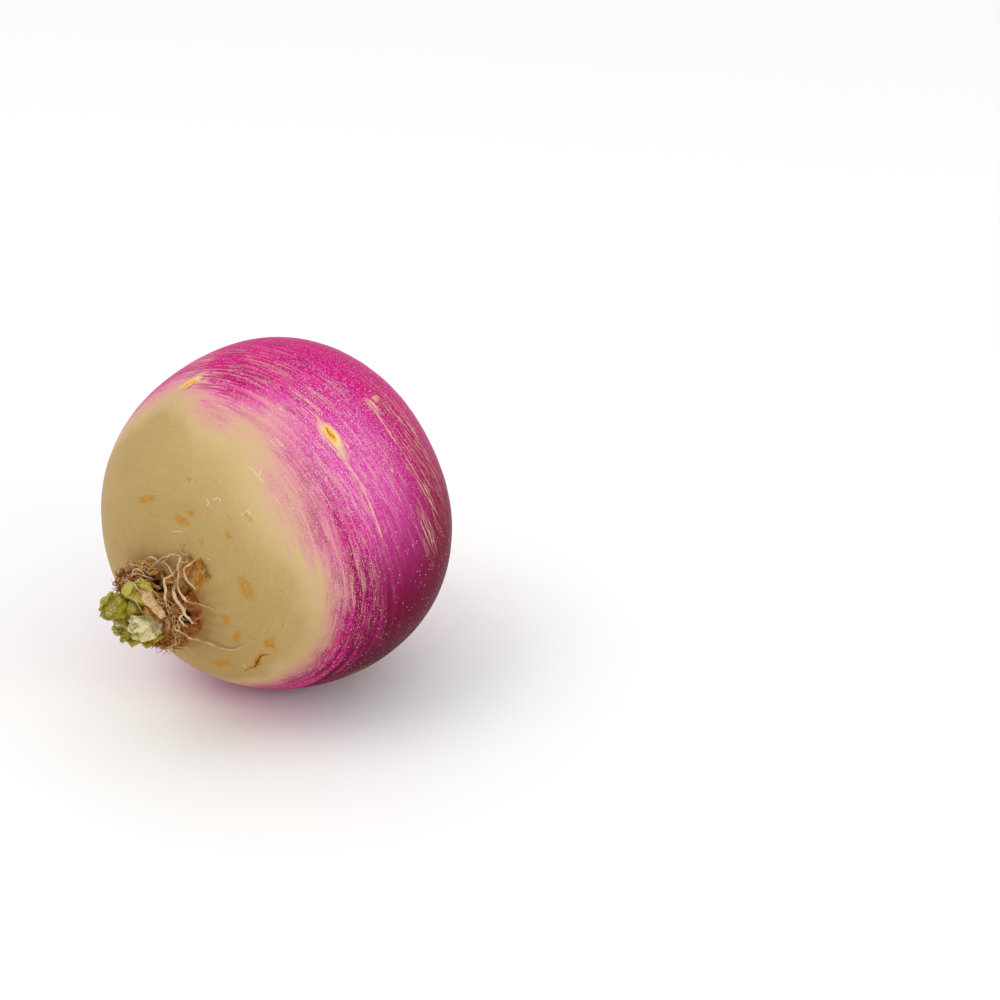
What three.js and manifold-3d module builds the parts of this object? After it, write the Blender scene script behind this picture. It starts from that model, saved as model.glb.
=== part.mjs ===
// A purple and cream turnip root with cut leaf stalks, lying on its side on a small flat spot.
//
// Units are millimetres and +Z is up. Every piece is modelled in the root's own frame, in which
// the root stands upright on its taproot: the middle of the globe is the origin, +Z runs out of
// the crown, and a place round the crown is given by a turn about that axis and a distance from
// it. One group then lays the whole root down, so that the crown faces -Y and nods a little
// towards the surface, and the underside is pressed flat where it rests.

import * as THREE from "three";
import { mergeVertices } from "three/addons/utils/BufferGeometryUtils.js";
import Module from "manifold-3d";

// The root.
const GLOBE_RADIUS = 45.8; // across the crown axis
const CROWN_DEPTH = 44.9; // from the middle of the globe to its surface under the crown
const TAIL_DEPTH = 40.4; // from the middle of the globe to its surface at the tail
const TAIL_FULLNESS = 2.15; // 2 is an ellipse, more is a fuller and flatter tail
const FLARE_DIP = 60; // degrees below the widest ring where the globe runs out into the taproot
const TAPROOT_RADIUS = 3.3;
const TAPROOT_CUT_RADIUS = 2.5;
const TAPROOT_LENGTH = 9.5; // past the globe's surface at the tail
const TAPROOT_CUT_DOME = 0.4;
const TAPROOT_FILLET = 0.6; // below the tail's surface, where the taproot starts to widen
const NECK_RADIUS = 6.2; // the stump that carries the leaf stalks
const NECK_TOP = 49.2;
const NECK_ROUNDING = 1.4;
const ROOT_SECTORS = 48;
const OUTLINE_STEP = 7.5; // degrees
const FLARE_STEPS = 7;

// The globe isn't quite round: it has slight lobes, each a count, a share of the radius and a
// turn about the crown axis where one of them is highest.
const LOBES = [
  { count: 2, size: 0.011, turn: 95 },
  { count: 3, size: 0.0115, turn: -40 },
  { count: 4, size: 0.016, turn: -17 },
];

// How it lies.
const NOD = 8; // degrees that the crown dips below the level
const REST_HEIGHT = 45.2; // the middle of the globe above the surface
const REST_SHIFT = 5.0; // the middle of the globe behind the middle of the whole

// The corky collar of old leaf bases. It's wider, taller and further out on one side.
const COLLAR_RADIUS = 8.4; // to the middle of its section
const COLLAR_HALF_WIDTH = 2.9;
const COLLAR_MIDDLE = 44.2;
const COLLAR_HALF_HEIGHT = 5.6;
const COLLAR_FULL_SIDE = 150; // degrees round the crown
const COLLAR_LEAN = 0.7; // how far its middle moves out there
const COLLAR_WIDENING = 0.16; // as a share of its width
const COLLAR_HEIGHTENING = 0.08; // as a share of its height
const COLLAR_SECTORS = 44;
const COLLAR_SIDES = 12;

const STALK_RIBS = 6;
const STALK_STEPS = 5;

// Clearances and fine stuff.
const GAP = 0.35; // between pieces that touch on the real root
const FIBRE_SIDES = 6;
const FIBRE_STEPS = 14;

const wasm = await Module();
wasm.setup();

const radians = THREE.MathUtils.degToRad;

/** A point in the root's frame from its turn about the crown axis, its distance and its height. */
function polar(degrees, distance, height) {
  const turn = radians(degrees);
  return new THREE.Vector3(distance * Math.cos(turn), distance * Math.sin(turn), height);
}

/** Moves every corner of a geometry, drops what shading added, and joins corners that meet. */
function reshape(geometry, move) {
  geometry.deleteAttribute("normal");
  geometry.deleteAttribute("uv");
  const place = geometry.getAttribute("position");
  const point = new THREE.Vector3();
  for (let i = 0; i < place.count; i += 1) {
    move(point.fromBufferAttribute(place, i));
    place.setXYZ(i, point.x, point.y, point.z);
  }
  return mergeVertices(geometry, 1e-4);
}

/** A closed geometry as a solid that can be cut. */
function toSolid(geometry) {
  return new wasm.Manifold(
    new wasm.Mesh({
      numProp: 3,
      vertProperties: new Float32Array(geometry.getAttribute("position").array),
      triVerts: new Uint32Array(geometry.getIndex().array),
    }),
  );
}

/** A cut solid as a geometry again. */
function toGeometry(solid) {
  const cut = solid.getMesh();
  const geometry = new THREE.BufferGeometry();
  geometry.setAttribute("position", new THREE.BufferAttribute(cut.vertProperties, 3));
  geometry.setIndex(new THREE.BufferAttribute(cut.triVerts, 1));
  return geometry;
}

/** A named piece with a finish of its own. */
function piece(name, geometry, color, roughness) {
  geometry.computeVertexNormals();
  const mesh = new THREE.Mesh(
    geometry,
    new THREE.MeshStandardMaterial({ color, roughness, metalness: 0 }),
  );
  mesh.name = name;
  return mesh;
}

// ---------------------------------------------------------------------------------------------
// How the root lies

const lying = new THREE.Group();
lying.rotation.x = radians(90 + NOD);
lying.position.set(0, REST_SHIFT, REST_HEIGHT);
lying.updateMatrix();

// ---------------------------------------------------------------------------------------------
// The root

/** Height of the globe's bare surface at a distance from the crown axis, on the crown's side. */
function globeHeight(distance) {
  return CROWN_DEPTH * Math.sqrt(1 - (distance / GLOBE_RADIUS) ** 2);
}

/** A point of the globe's outline below its widest ring, as its distance from the axis and height. */
function tailPoint(dip) {
  const a = radians(dip);
  return new THREE.Vector2(
    GLOBE_RADIUS * Math.cos(a) ** (2 / TAIL_FULLNESS),
    -TAIL_DEPTH * Math.sin(a) ** (2 / TAIL_FULLNESS),
  );
}

/** Outline of the root from the cut end of its taproot up to the top of its neck. */
function rootOutline() {
  const end = -TAIL_DEPTH - TAPROOT_LENGTH;
  const leave = tailPoint(FLARE_DIP);
  const inward = tailPoint(FLARE_DIP + 1).sub(leave).normalize();
  const run = new THREE.CubicBezierCurve(
    new THREE.Vector2(TAPROOT_RADIUS, end + TAPROOT_LENGTH / 2),
    new THREE.Vector2(TAPROOT_RADIUS * 1.5, -TAIL_DEPTH - TAPROOT_FILLET),
    leave.clone().addScaledVector(inward, TAPROOT_LENGTH),
    leave,
  );
  const outline = [
    new THREE.Vector2(0, end - TAPROOT_CUT_DOME),
    new THREE.Vector2(TAPROOT_CUT_RADIUS, end),
    ...run.getPoints(FLARE_STEPS),
  ];
  for (let dip = FLARE_DIP - OUTLINE_STEP; dip > 0; dip -= OUTLINE_STEP) {
    outline.push(tailPoint(dip));
  }
  for (let turn = 90; turn > OUTLINE_STEP; turn -= OUTLINE_STEP) {
    const a = radians(turn);
    outline.push(new THREE.Vector2(GLOBE_RADIUS * Math.sin(a), CROWN_DEPTH * Math.cos(a)));
  }
  outline.push(
    new THREE.Vector2(NECK_RADIUS, globeHeight(NECK_RADIUS)),
    new THREE.Vector2(NECK_RADIUS, NECK_TOP - NECK_ROUNDING),
    new THREE.Vector2(NECK_RADIUS - NECK_ROUNDING, NECK_TOP - NECK_ROUNDING / 3),
    new THREE.Vector2(0, NECK_TOP),
  );
  return outline;
}

/** Moves a point of the round outline out or in by the lobes, which fade out at both ends. */
function swell(point) {
  const turn = Math.atan2(point.y, point.x);
  const out = point.x ** 2 + point.y ** 2;
  const belt = out / (out + point.z ** 2);
  let share = 1;
  for (const lobe of LOBES) {
    share += belt * lobe.size * Math.cos(lobe.count * (turn - radians(lobe.turn)));
  }
  point.x *= share;
  point.y *= share;
}

/** The root in one piece: globe, neck and taproot, with its underside pressed flat. */
function root() {
  const turned = new THREE.LatheGeometry(rootOutline(), ROOT_SECTORS);
  turned.rotateX(Math.PI / 2);
  const grown = toSolid(reshape(turned, swell));
  const size = 4 * GLOBE_RADIUS;
  const below = new THREE.BoxGeometry(size, size, size);
  below.translate(0, 0, -size / 2);
  below.applyMatrix4(lying.matrix.clone().invert());
  const surface = toSolid(reshape(below, () => {}));
  return piece("root", toGeometry(grown.subtract(surface)), 0xc98a86, 0.5);
}

// ---------------------------------------------------------------------------------------------
// The crown

/** The ragged collar's section at a turn about the crown: its middle, half width and half height. */
function collarSection(turn) {
  const side = Math.cos(turn - radians(COLLAR_FULL_SIDE));
  const ripple = 0.05 * Math.cos(5 * turn) + 0.03 * Math.cos(9 * turn + 2);
  return {
    middle: COLLAR_RADIUS + COLLAR_LEAN * side,
    wide: COLLAR_HALF_WIDTH * (1 + COLLAR_WIDENING * side + ripple),
    tall: COLLAR_HALF_HEIGHT * (1 + COLLAR_HEIGHTENING * side + ripple),
  };
}

/** Height that clears both the collar and the bare globe at a place round the crown. */
function crownHeight(degrees, distance, clearance) {
  const { middle, wide, tall } = collarSection(radians(degrees));
  const across = (distance - middle) / (wide + clearance);
  const globe = globeHeight(distance) + clearance;
  if (Math.abs(across) >= 1) {
    return globe;
  }
  return Math.max(globe, COLLAR_MIDDLE + (tall + clearance) * Math.sqrt(1 - across ** 2));
}

/** The collar: a lumpy ring that hugs the neck and sits on the globe's shoulder. */
function crownCollar() {
  const ring = new THREE.TorusGeometry(COLLAR_RADIUS, 1, COLLAR_SIDES, COLLAR_SECTORS);
  const hug = (point) => {
    const turn = Math.atan2(point.y, point.x);
    const { middle, wide, tall } = collarSection(turn);
    const across = Math.hypot(point.x, point.y) - COLLAR_RADIUS;
    const distance = Math.max(middle + across * wide, NECK_RADIUS + GAP);
    point.x = distance * Math.cos(turn);
    point.y = distance * Math.sin(turn);
    point.z = Math.max(COLLAR_MIDDLE + point.z * tall, globeHeight(distance) + GAP);
  };
  return piece("crown_collar", reshape(ring, hug), 0x6b4629, 0.95);
}

/**
 * A stub that grows from the neck, such as a cut stalk or a dry scale. It rises from its foot and
 * bends over to its tip. Its section is a rib-backed crescent that faces away from the crown's
 * axis, and its free end is cut on a slant.
 */
function stub({ name, foot, tip, width, depth, taper, curl, ribs, slant, sides, color, roughness }) {
  const start = polar(...foot);
  const end = polar(...tip);
  const rise = new THREE.Vector3(start.x, start.y, (start.z + end.z) / 2);
  const spine = new THREE.QuadraticBezierCurve3(start, rise, end);
  const outward = polar(foot[0], 1, 0);
  const grown = new THREE.CylinderGeometry(1, 1, 1, sides, STALK_STEPS);
  const bend = (point) => {
    const share = point.y + 0.5;
    const turn = Math.atan2(point.z, point.x);
    const full = Math.hypot(point.x, point.z);
    const ribbed = full * (1 + ribs * Math.cos(STALK_RIBS * turn)) * (1 - taper * share);
    const across = ribbed * Math.cos(turn) * (width / 2);
    const out = ribbed * Math.sin(turn) * (depth / 2) - curl * (across / width) ** 2;
    const ahead = spine.getTangent(share);
    const side = new THREE.Vector3().crossVectors(ahead, outward).normalize();
    const face = new THREE.Vector3().crossVectors(side, ahead).normalize();
    spine.getPoint(share, point);
    point.addScaledVector(side, across).addScaledVector(face, out);
    point.addScaledVector(ahead, slant * across * share);
  };
  return piece(name, reshape(grown, bend), color, roughness);
}

// Places are a turn in degrees, a distance from the crown axis and a height.
const STALK_FOOT = NECK_TOP + 0.4;
const STALK = { ribs: 0.05, sides: 18, roughness: 0.55 };
const TONGUE = { ...STALK, width: 3.2, depth: 1.3, curl: 0.5, color: 0x92893a };
const STALKS = [
  {
    ...STALK,
    color: 0xb0b048,
    foot: [100, 4.6, STALK_FOOT],
    tip: [105, 9.6, 53.4],
    width: 4.2,
    depth: 2.4,
    taper: -0.5,
    curl: 0.8,
    slant: 0.2,
  },
  {
    ...STALK,
    color: 0x857b25,
    foot: [162, 4.1, STALK_FOOT],
    tip: [140, 9.4, 57.8],
    width: 3.1,
    depth: 3.2,
    taper: -0.65,
    curl: 0.5,
    slant: -0.2,
  },
  {
    ...STALK,
    color: 0x84762b,
    foot: [217, 4.8, STALK_FOOT],
    tip: [190, 5.2, 57.2],
    width: 2.9,
    depth: 2.8,
    taper: -0.5,
    curl: 0.4,
    slant: 0.3,
  },
  {
    ...STALK,
    color: 0xaaa273,
    foot: [280, 1.9, STALK_FOOT],
    tip: [46, 2.7, 56.2],
    width: 3.9,
    depth: 3.7,
    taper: -0.6,
    curl: 0.4,
    slant: -0.15,
  },
  { ...TONGUE, foot: [249, 5.7, STALK_FOOT], tip: [238, 6.8, 55.5], taper: 0.3, slant: 0.1 },
  { ...TONGUE, foot: [287, 5.7, STALK_FOOT], tip: [274, 5.4, 54.6], taper: 0.2, slant: -0.1 },
];

/** The cut leaf stalks, each as its own piece. */
function leafStalks() {
  return STALKS.map((stalk, i) => stub({ name: `leaf_stalk_${i + 1}`, ...stalk }));
}

const PAPER = { depth: 0.6, ribs: 0.0, sides: 14, roughness: 0.85, color: 0xa5805a };
const SCALES = [
  { foot: [62, 8.4, 51.7], tip: [62, 9.9, 53.7], width: 6.4, taper: 0.1, curl: 1.4, slant: 0.3 },
  { foot: [38, 4.4, 49.8], tip: [62, 7.0, 54.3], width: 4.0, taper: 0.35, curl: 1.0, slant: -0.3 },
  { foot: [4, 5.3, 49.8], tip: [10, 6.9, 52.6], width: 3.6, taper: 0.2, curl: 1.0, slant: 0.4 },
  { foot: [51, 12.9, 44.4], tip: [51, 17.8, 42.5], width: 6.6, taper: 0.05, curl: 0.8, slant: 0.0 },
];

/** The dry papery scales, each as its own piece. */
function dryScales() {
  return SCALES.map((scale, i) => stub({ name: `dry_scale_${i + 1}`, ...PAPER, ...scale }));
}

// Each route is a row of places: a turn in degrees, a distance from the axis and a lift off what
// lies under it.
const FIBRES = [
  {
    radius: 0.42,
    route: [
      [61, 12.3, 0.1],
      [54, 11.7, 0.3],
      [43, 11.0, 0.4],
      [30, 11.0, 0.5],
      [16, 10.9, 0.4],
      [2, 10.9, 0.2],
    ],
  },
  {
    radius: 0.3,
    route: [
      [81, 14.6, 0.1],
      [78, 16.0, 0.3],
      [72, 16.8, 0.5],
      [68, 16.5, 0.8],
      [66, 14.6, 1.1],
      [63, 13.8, 1.4],
      [57, 13.5, 1.6],
    ],
  },
  {
    radius: 0.26,
    route: [
      [54, 12.1, 0.2],
      [45, 11.8, 0.3],
      [38, 11.7, 0.3],
      [33, 11.7, 0.3],
      [24, 11.8, 0.3],
      [18, 13.0, 0.2],
      [11, 14.7, 0.1],
    ],
  },
  {
    radius: 0.24,
    route: [
      [57, 19.4, 1.7],
      [58, 17.5, 1.8],
      [59, 15.9, 1.9],
      [57, 14.9, 2.0],
      [51, 14.2, 1.9],
      [43, 14.0, 1.7],
      [38, 13.8, 1.3],
    ],
  },
  {
    radius: 0.24,
    route: [
      [113, 11.7, 0.3],
      [107, 13.1, 0.5],
      [101, 13.7, 0.6],
      [95, 13.5, 0.5],
      [89, 12.8, 0.3],
    ],
  },
  {
    radius: 0.22,
    route: [
      [-3, 8.4, 0.2],
      [-9, 9.7, 0.3],
      [-28, 10.5, 0.6],
      [-40, 12.4, 0.4],
      [-38, 14.3, 0.2],
      [-36, 16.8, 0.1],
      [-32, 19.2, 0.1],
      [-25, 20.9, 0.1],
    ],
  },
];

/** One pale root fibre along its route over the collar and the skin. */
function fibre({ radius, route }, name) {
  const points = route.map(([turn, distance, lift]) =>
    polar(turn, distance, crownHeight(turn, distance, GAP + radius + lift)),
  );
  const section = new THREE.Shape();
  section.absarc(0, 0, radius, 0, 2 * Math.PI);
  const drawn = new THREE.ExtrudeGeometry(section, {
    curveSegments: FIBRE_SIDES,
    steps: FIBRE_STEPS,
    bevelEnabled: false,
    extrudePath: new THREE.CatmullRomCurve3(points),
  });
  return piece(name, reshape(drawn, () => {}), 0xc9b29a, 0.8);
}

/** The separate root fibres that lie over the collar. */
function crownFibres() {
  return FIBRES.map((run, i) => fibre(run, `crown_fibre_${i + 1}`));
}

// ---------------------------------------------------------------------------------------------
// The whole

lying.add(root(), crownCollar(), ...leafStalks(), ...dryScales(), ...crownFibres());

const turnip = new THREE.Group();
turnip.name = "turnip";
turnip.add(lying);

export default turnip;
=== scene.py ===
"""A purple and cream turnip root with cut leaf stalks, lying on its side on a small flat spot.

The root is described in its own frame, in millimetres, as if it stood upright on its taproot: the
middle of the globe is the origin, +Z runs out of the crown, and a place is given by its turn about
that axis and its dip, the angle down from the crown. ``Lying`` lays everything down on the floor.
"""

import logging
import math
from collections.abc import Sequence
from dataclasses import dataclass, field
from enum import Enum

import bpy
import numpy as np
from mathutils import Euler, Matrix, Vector


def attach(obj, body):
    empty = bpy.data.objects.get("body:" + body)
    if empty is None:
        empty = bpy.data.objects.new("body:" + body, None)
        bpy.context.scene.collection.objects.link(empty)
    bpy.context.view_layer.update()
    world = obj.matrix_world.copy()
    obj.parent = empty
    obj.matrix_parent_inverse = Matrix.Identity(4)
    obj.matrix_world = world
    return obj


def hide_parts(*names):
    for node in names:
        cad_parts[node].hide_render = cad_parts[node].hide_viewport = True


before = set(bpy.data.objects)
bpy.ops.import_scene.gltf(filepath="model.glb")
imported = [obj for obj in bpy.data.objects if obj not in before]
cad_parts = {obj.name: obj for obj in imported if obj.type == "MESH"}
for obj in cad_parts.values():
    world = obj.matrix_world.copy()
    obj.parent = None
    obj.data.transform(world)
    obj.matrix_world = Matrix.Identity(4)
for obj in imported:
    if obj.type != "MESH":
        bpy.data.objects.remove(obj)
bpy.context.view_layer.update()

log = logging.getLogger("turnip")

MM = 0.001  # metres
GAP = 0.35  # millimetres that a strand keeps off what lies under it
TINY = 0.001  # millimetres that keep a distance off zero where it divides
BODY = "root"
HALF = (0.5, 0.5, 0.5)
Colour = tuple[float, float, float, float]
Triple = tuple[float, float, float]
Side = tuple[float, float]  # a turn about the root's axis in degrees, and how sharply it's bounded


class Slot(Enum):
    """The record's material slots."""

    SKIN = "skin"
    CORK = "cork"
    LIME = "lime_stalk"
    OLIVE = "olive_stalk"
    WHITE = "white_stalk"
    SCALE = "dry_scale"
    FIBRE = "fibre"


def srgb(red: float, green: float, blue: float) -> Colour:
    """Turns a colour as a screen shows it, 0 to 255, into the linear colour that a material takes.

    Args:
        red: Red, 0 to 255.
        green: Green, 0 to 255.
        blue: Blue, 0 to 255.

    Returns:
        The linear colour with full alpha.
    """
    linear = [
        c / 12.92 if c <= 0.04045 else ((c + 0.055) / 1.055) ** 2.4
        for c in (red / 255, green / 255, blue / 255)
    ]
    return (linear[0], linear[1], linear[2], 1.0)


# ---- Node graphs


class Wire:
    """A value on its way through a node graph, with ordinary arithmetic."""

    def __init__(self, graph: "Graph", socket: bpy.types.NodeSocket) -> None:
        """Wraps an output socket of a graph."""
        self.graph = graph
        self.socket = socket

    def __add__(self, other: "Value") -> "Wire":
        """Sum of two numbers."""
        return self.graph.math("ADD", self, other)

    def __sub__(self, other: "Value") -> "Wire":
        """Difference of two numbers."""
        return self.graph.math("SUBTRACT", self, other)

    def __rsub__(self, other: "Value") -> "Wire":
        """Difference of two numbers, this one second."""
        return self.graph.math("SUBTRACT", other, self)

    def __mul__(self, other: "Value") -> "Wire":
        """Product of two numbers."""
        return self.graph.math("MULTIPLY", self, other)

    def __truediv__(self, other: "Value") -> "Wire":
        """Quotient of two numbers."""
        return self.graph.math("DIVIDE", self, other)

    def __pow__(self, other: "Value") -> "Wire":
        """Power of a number."""
        return self.graph.math("POWER", self, other)

    __radd__ = __add__
    __rmul__ = __mul__


Value = Wire | float | str | tuple[float, ...]
Inputs = dict[str | int, Value] | Sequence[Value]


class Graph:
    """Builds the nodes and links of one shader or geometry tree."""

    def __init__(self, tree: bpy.types.NodeTree) -> None:
        """Starts on an empty tree."""
        self.tree = tree
        self.tree.nodes.clear()

    def node(self, kind: str, inputs: Inputs = (), **settings: object) -> bpy.types.Node:
        """Adds a node, sets its own properties, then links or sets its inputs.

        Args:
            kind: Blender's name for the node type.
            inputs: The inputs in order, or by their names or numbers.
            settings: Values for the node's properties.

        Returns:
            The new node.
        """
        made = self.tree.nodes.new(kind)
        for name, value in settings.items():
            setattr(made, name, value)
        for key, value in inputs.items() if isinstance(inputs, dict) else enumerate(inputs):
            if isinstance(value, Wire):
                self.tree.links.new(value.socket, made.inputs[key])
            else:
                made.inputs[key].default_value = value
        return made

    def wire(self, kind: str, inputs: Inputs = (), output: str | int = 0, **settings: object) -> Wire:
        """Adds a node as node() does and takes one of its outputs, by name or number."""
        return Wire(self, self.node(kind, inputs, **settings).outputs[output])

    def math(self, operation: str, *values: Value, clamp: bool = False) -> Wire:
        """An operation of the Math node on some numbers, kept between 0 and 1 if it's clamped."""
        return self.wire("ShaderNodeMath", values, operation=operation, use_clamp=clamp)

    def vector(self, operation: str, *values: Value, scale: Value | None = None) -> Wire:
        """An operation of the Vector Math node.

        Args:
            operation: The node's operation.
            values: Its vector inputs in order.
            scale: The scale input, for the SCALE operation.

        Returns:
            The result, a vector except for DOT_PRODUCT.
        """
        inputs = dict(enumerate(values)) | ({} if scale is None else {"Scale": scale})
        output = "Value" if operation == "DOT_PRODUCT" else "Vector"
        return self.wire("ShaderNodeVectorMath", inputs, output, operation=operation)

    def split(self, place: Wire) -> tuple[Wire, ...]:
        """The three parts of a vector."""
        return tuple(Wire(self, part) for part in self.node("ShaderNodeSeparateXYZ", (place,)).outputs)

    def join(self, x: Value, y: Value, z: Value) -> Wire:
        """A vector from three numbers."""
        return self.wire("ShaderNodeCombineXYZ", (x, y, z))

    def step(self, value: Value, low: float, high: float) -> Wire:
        """A smooth step from 0 at low to 1 at high, which may be the smaller of the two."""
        inputs = (value, low, high, 0.0, 1.0)
        return self.wire("ShaderNodeMapRange", inputs, interpolation_type="SMOOTHSTEP")

    def mix(self, share: Value, first: Value, second: Value) -> Wire:
        """The first colour with a share of the second over it."""
        return self.wire("ShaderNodeMix", {0: share, 6: first, 7: second}, 2, data_type="RGBA")

    def noise(self, place: Wire, scale: Value, detail: float = 2.0, rough: float = 0.5,
              twist: float = 0.0, colour: bool = False) -> Wire:
        """Cloudy noise about 0.5, so many clouds to a unit, or three such noises as a colour."""
        inputs = {"Vector": place, "Scale": scale, "Detail": detail, "Roughness": rough, "Distortion": twist}
        return self.wire("ShaderNodeTexNoise", inputs, 1 if colour else 0)

    def cells(self, place: Wire, scale: float) -> tuple[Wire, Wire]:
        """Distance from the nearest of some scattered dots, and a random number that each dot keeps."""
        made = self.node("ShaderNodeTexVoronoi", {"Vector": place, "Scale": scale})
        return Wire(self, made.outputs["Distance"]), self.split(Wire(self, made.outputs["Color"]))[0]

    def shake(self, place: Wire, scale: Value, detail: float, rough: float) -> Wire:
        """Random pushes of up to half a unit each way, read from noise as noise() has it."""
        return self.vector("SUBTRACT", self.noise(place, scale, detail, rough, colour=True), HALF)

    def pushed(self, place: Wire, push: Wire, amount: Value) -> Wire:
        """A place moved by an amount of a push."""
        return self.vector("ADD", place, self.vector("SCALE", push, scale=amount))

    def bump(self, height: Wire, distance: float, strength: float) -> Wire:
        """The normal, tilted by a height whose full scale is a distance in metres."""
        return self.wire("ShaderNodeBump", {"Strength": strength, "Distance": distance, "Height": height})


# ---- The root's shape and how it lies


@dataclass(frozen=True)
class Lying:
    """How the upright root is laid on the floor."""

    nod: float = math.radians(8)
    height: float = 45.2
    shift: float = 5.0

    @property
    def centre(self) -> Vector:
        """Middle of the globe, in metres."""
        return Vector((0.0, self.shift * MM, self.height * MM))

    @property
    def turn(self) -> Triple:
        """Euler angles that lay the root down."""
        return (math.pi / 2 + self.nod, 0.0, 0.0)

    @property
    def matrix(self) -> np.ndarray:
        """The turn as a 3 by 3 matrix."""
        return np.array(Euler(self.turn).to_matrix())

    def down(self, points: np.ndarray) -> np.ndarray:
        """Lays points in the root's own millimetres down, in metres."""
        return points @ self.matrix.T * MM + np.array(self.centre)


@dataclass(frozen=True)
class Lobe:
    """A slight lobing of the globe: how many, how strong, and the turn of one of them."""

    count: int
    size: float
    turn: float


@dataclass(frozen=True)
class Mark:
    """A spot on the skin, by its dip and turn in degrees and its half length and half width in mm."""

    dip: float
    turn: float
    along: float
    across: float
    slant: float = 0.0


MILLIMETRES_PER_DEGREE = 0.79  # along the skin, about the middle of the globe


def strokes(across: float, *places: tuple[float, float]) -> tuple[Mark, ...]:
    """Narrow marks that follow a line over the skin.

    Args:
        across: Half the line's width, in millimetres.
        places: Places on the line, each a dip and a turn in degrees.

    Returns:
        A mark from each place to the next.
    """
    marks = []
    for first, last in zip(places, places[1:]):
        dip = (first[0] + last[0]) / 2
        down = last[0] - first[0]
        around = (last[1] - first[1]) * math.sin(math.radians(dip))
        along = math.hypot(down, around) / 2 * MILLIMETRES_PER_DEGREE + across
        slant = -math.degrees(math.atan2(down, around))
        marks.append(Mark(dip, (first[1] + last[1]) / 2, along, across, slant))
    return tuple(marks)


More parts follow.
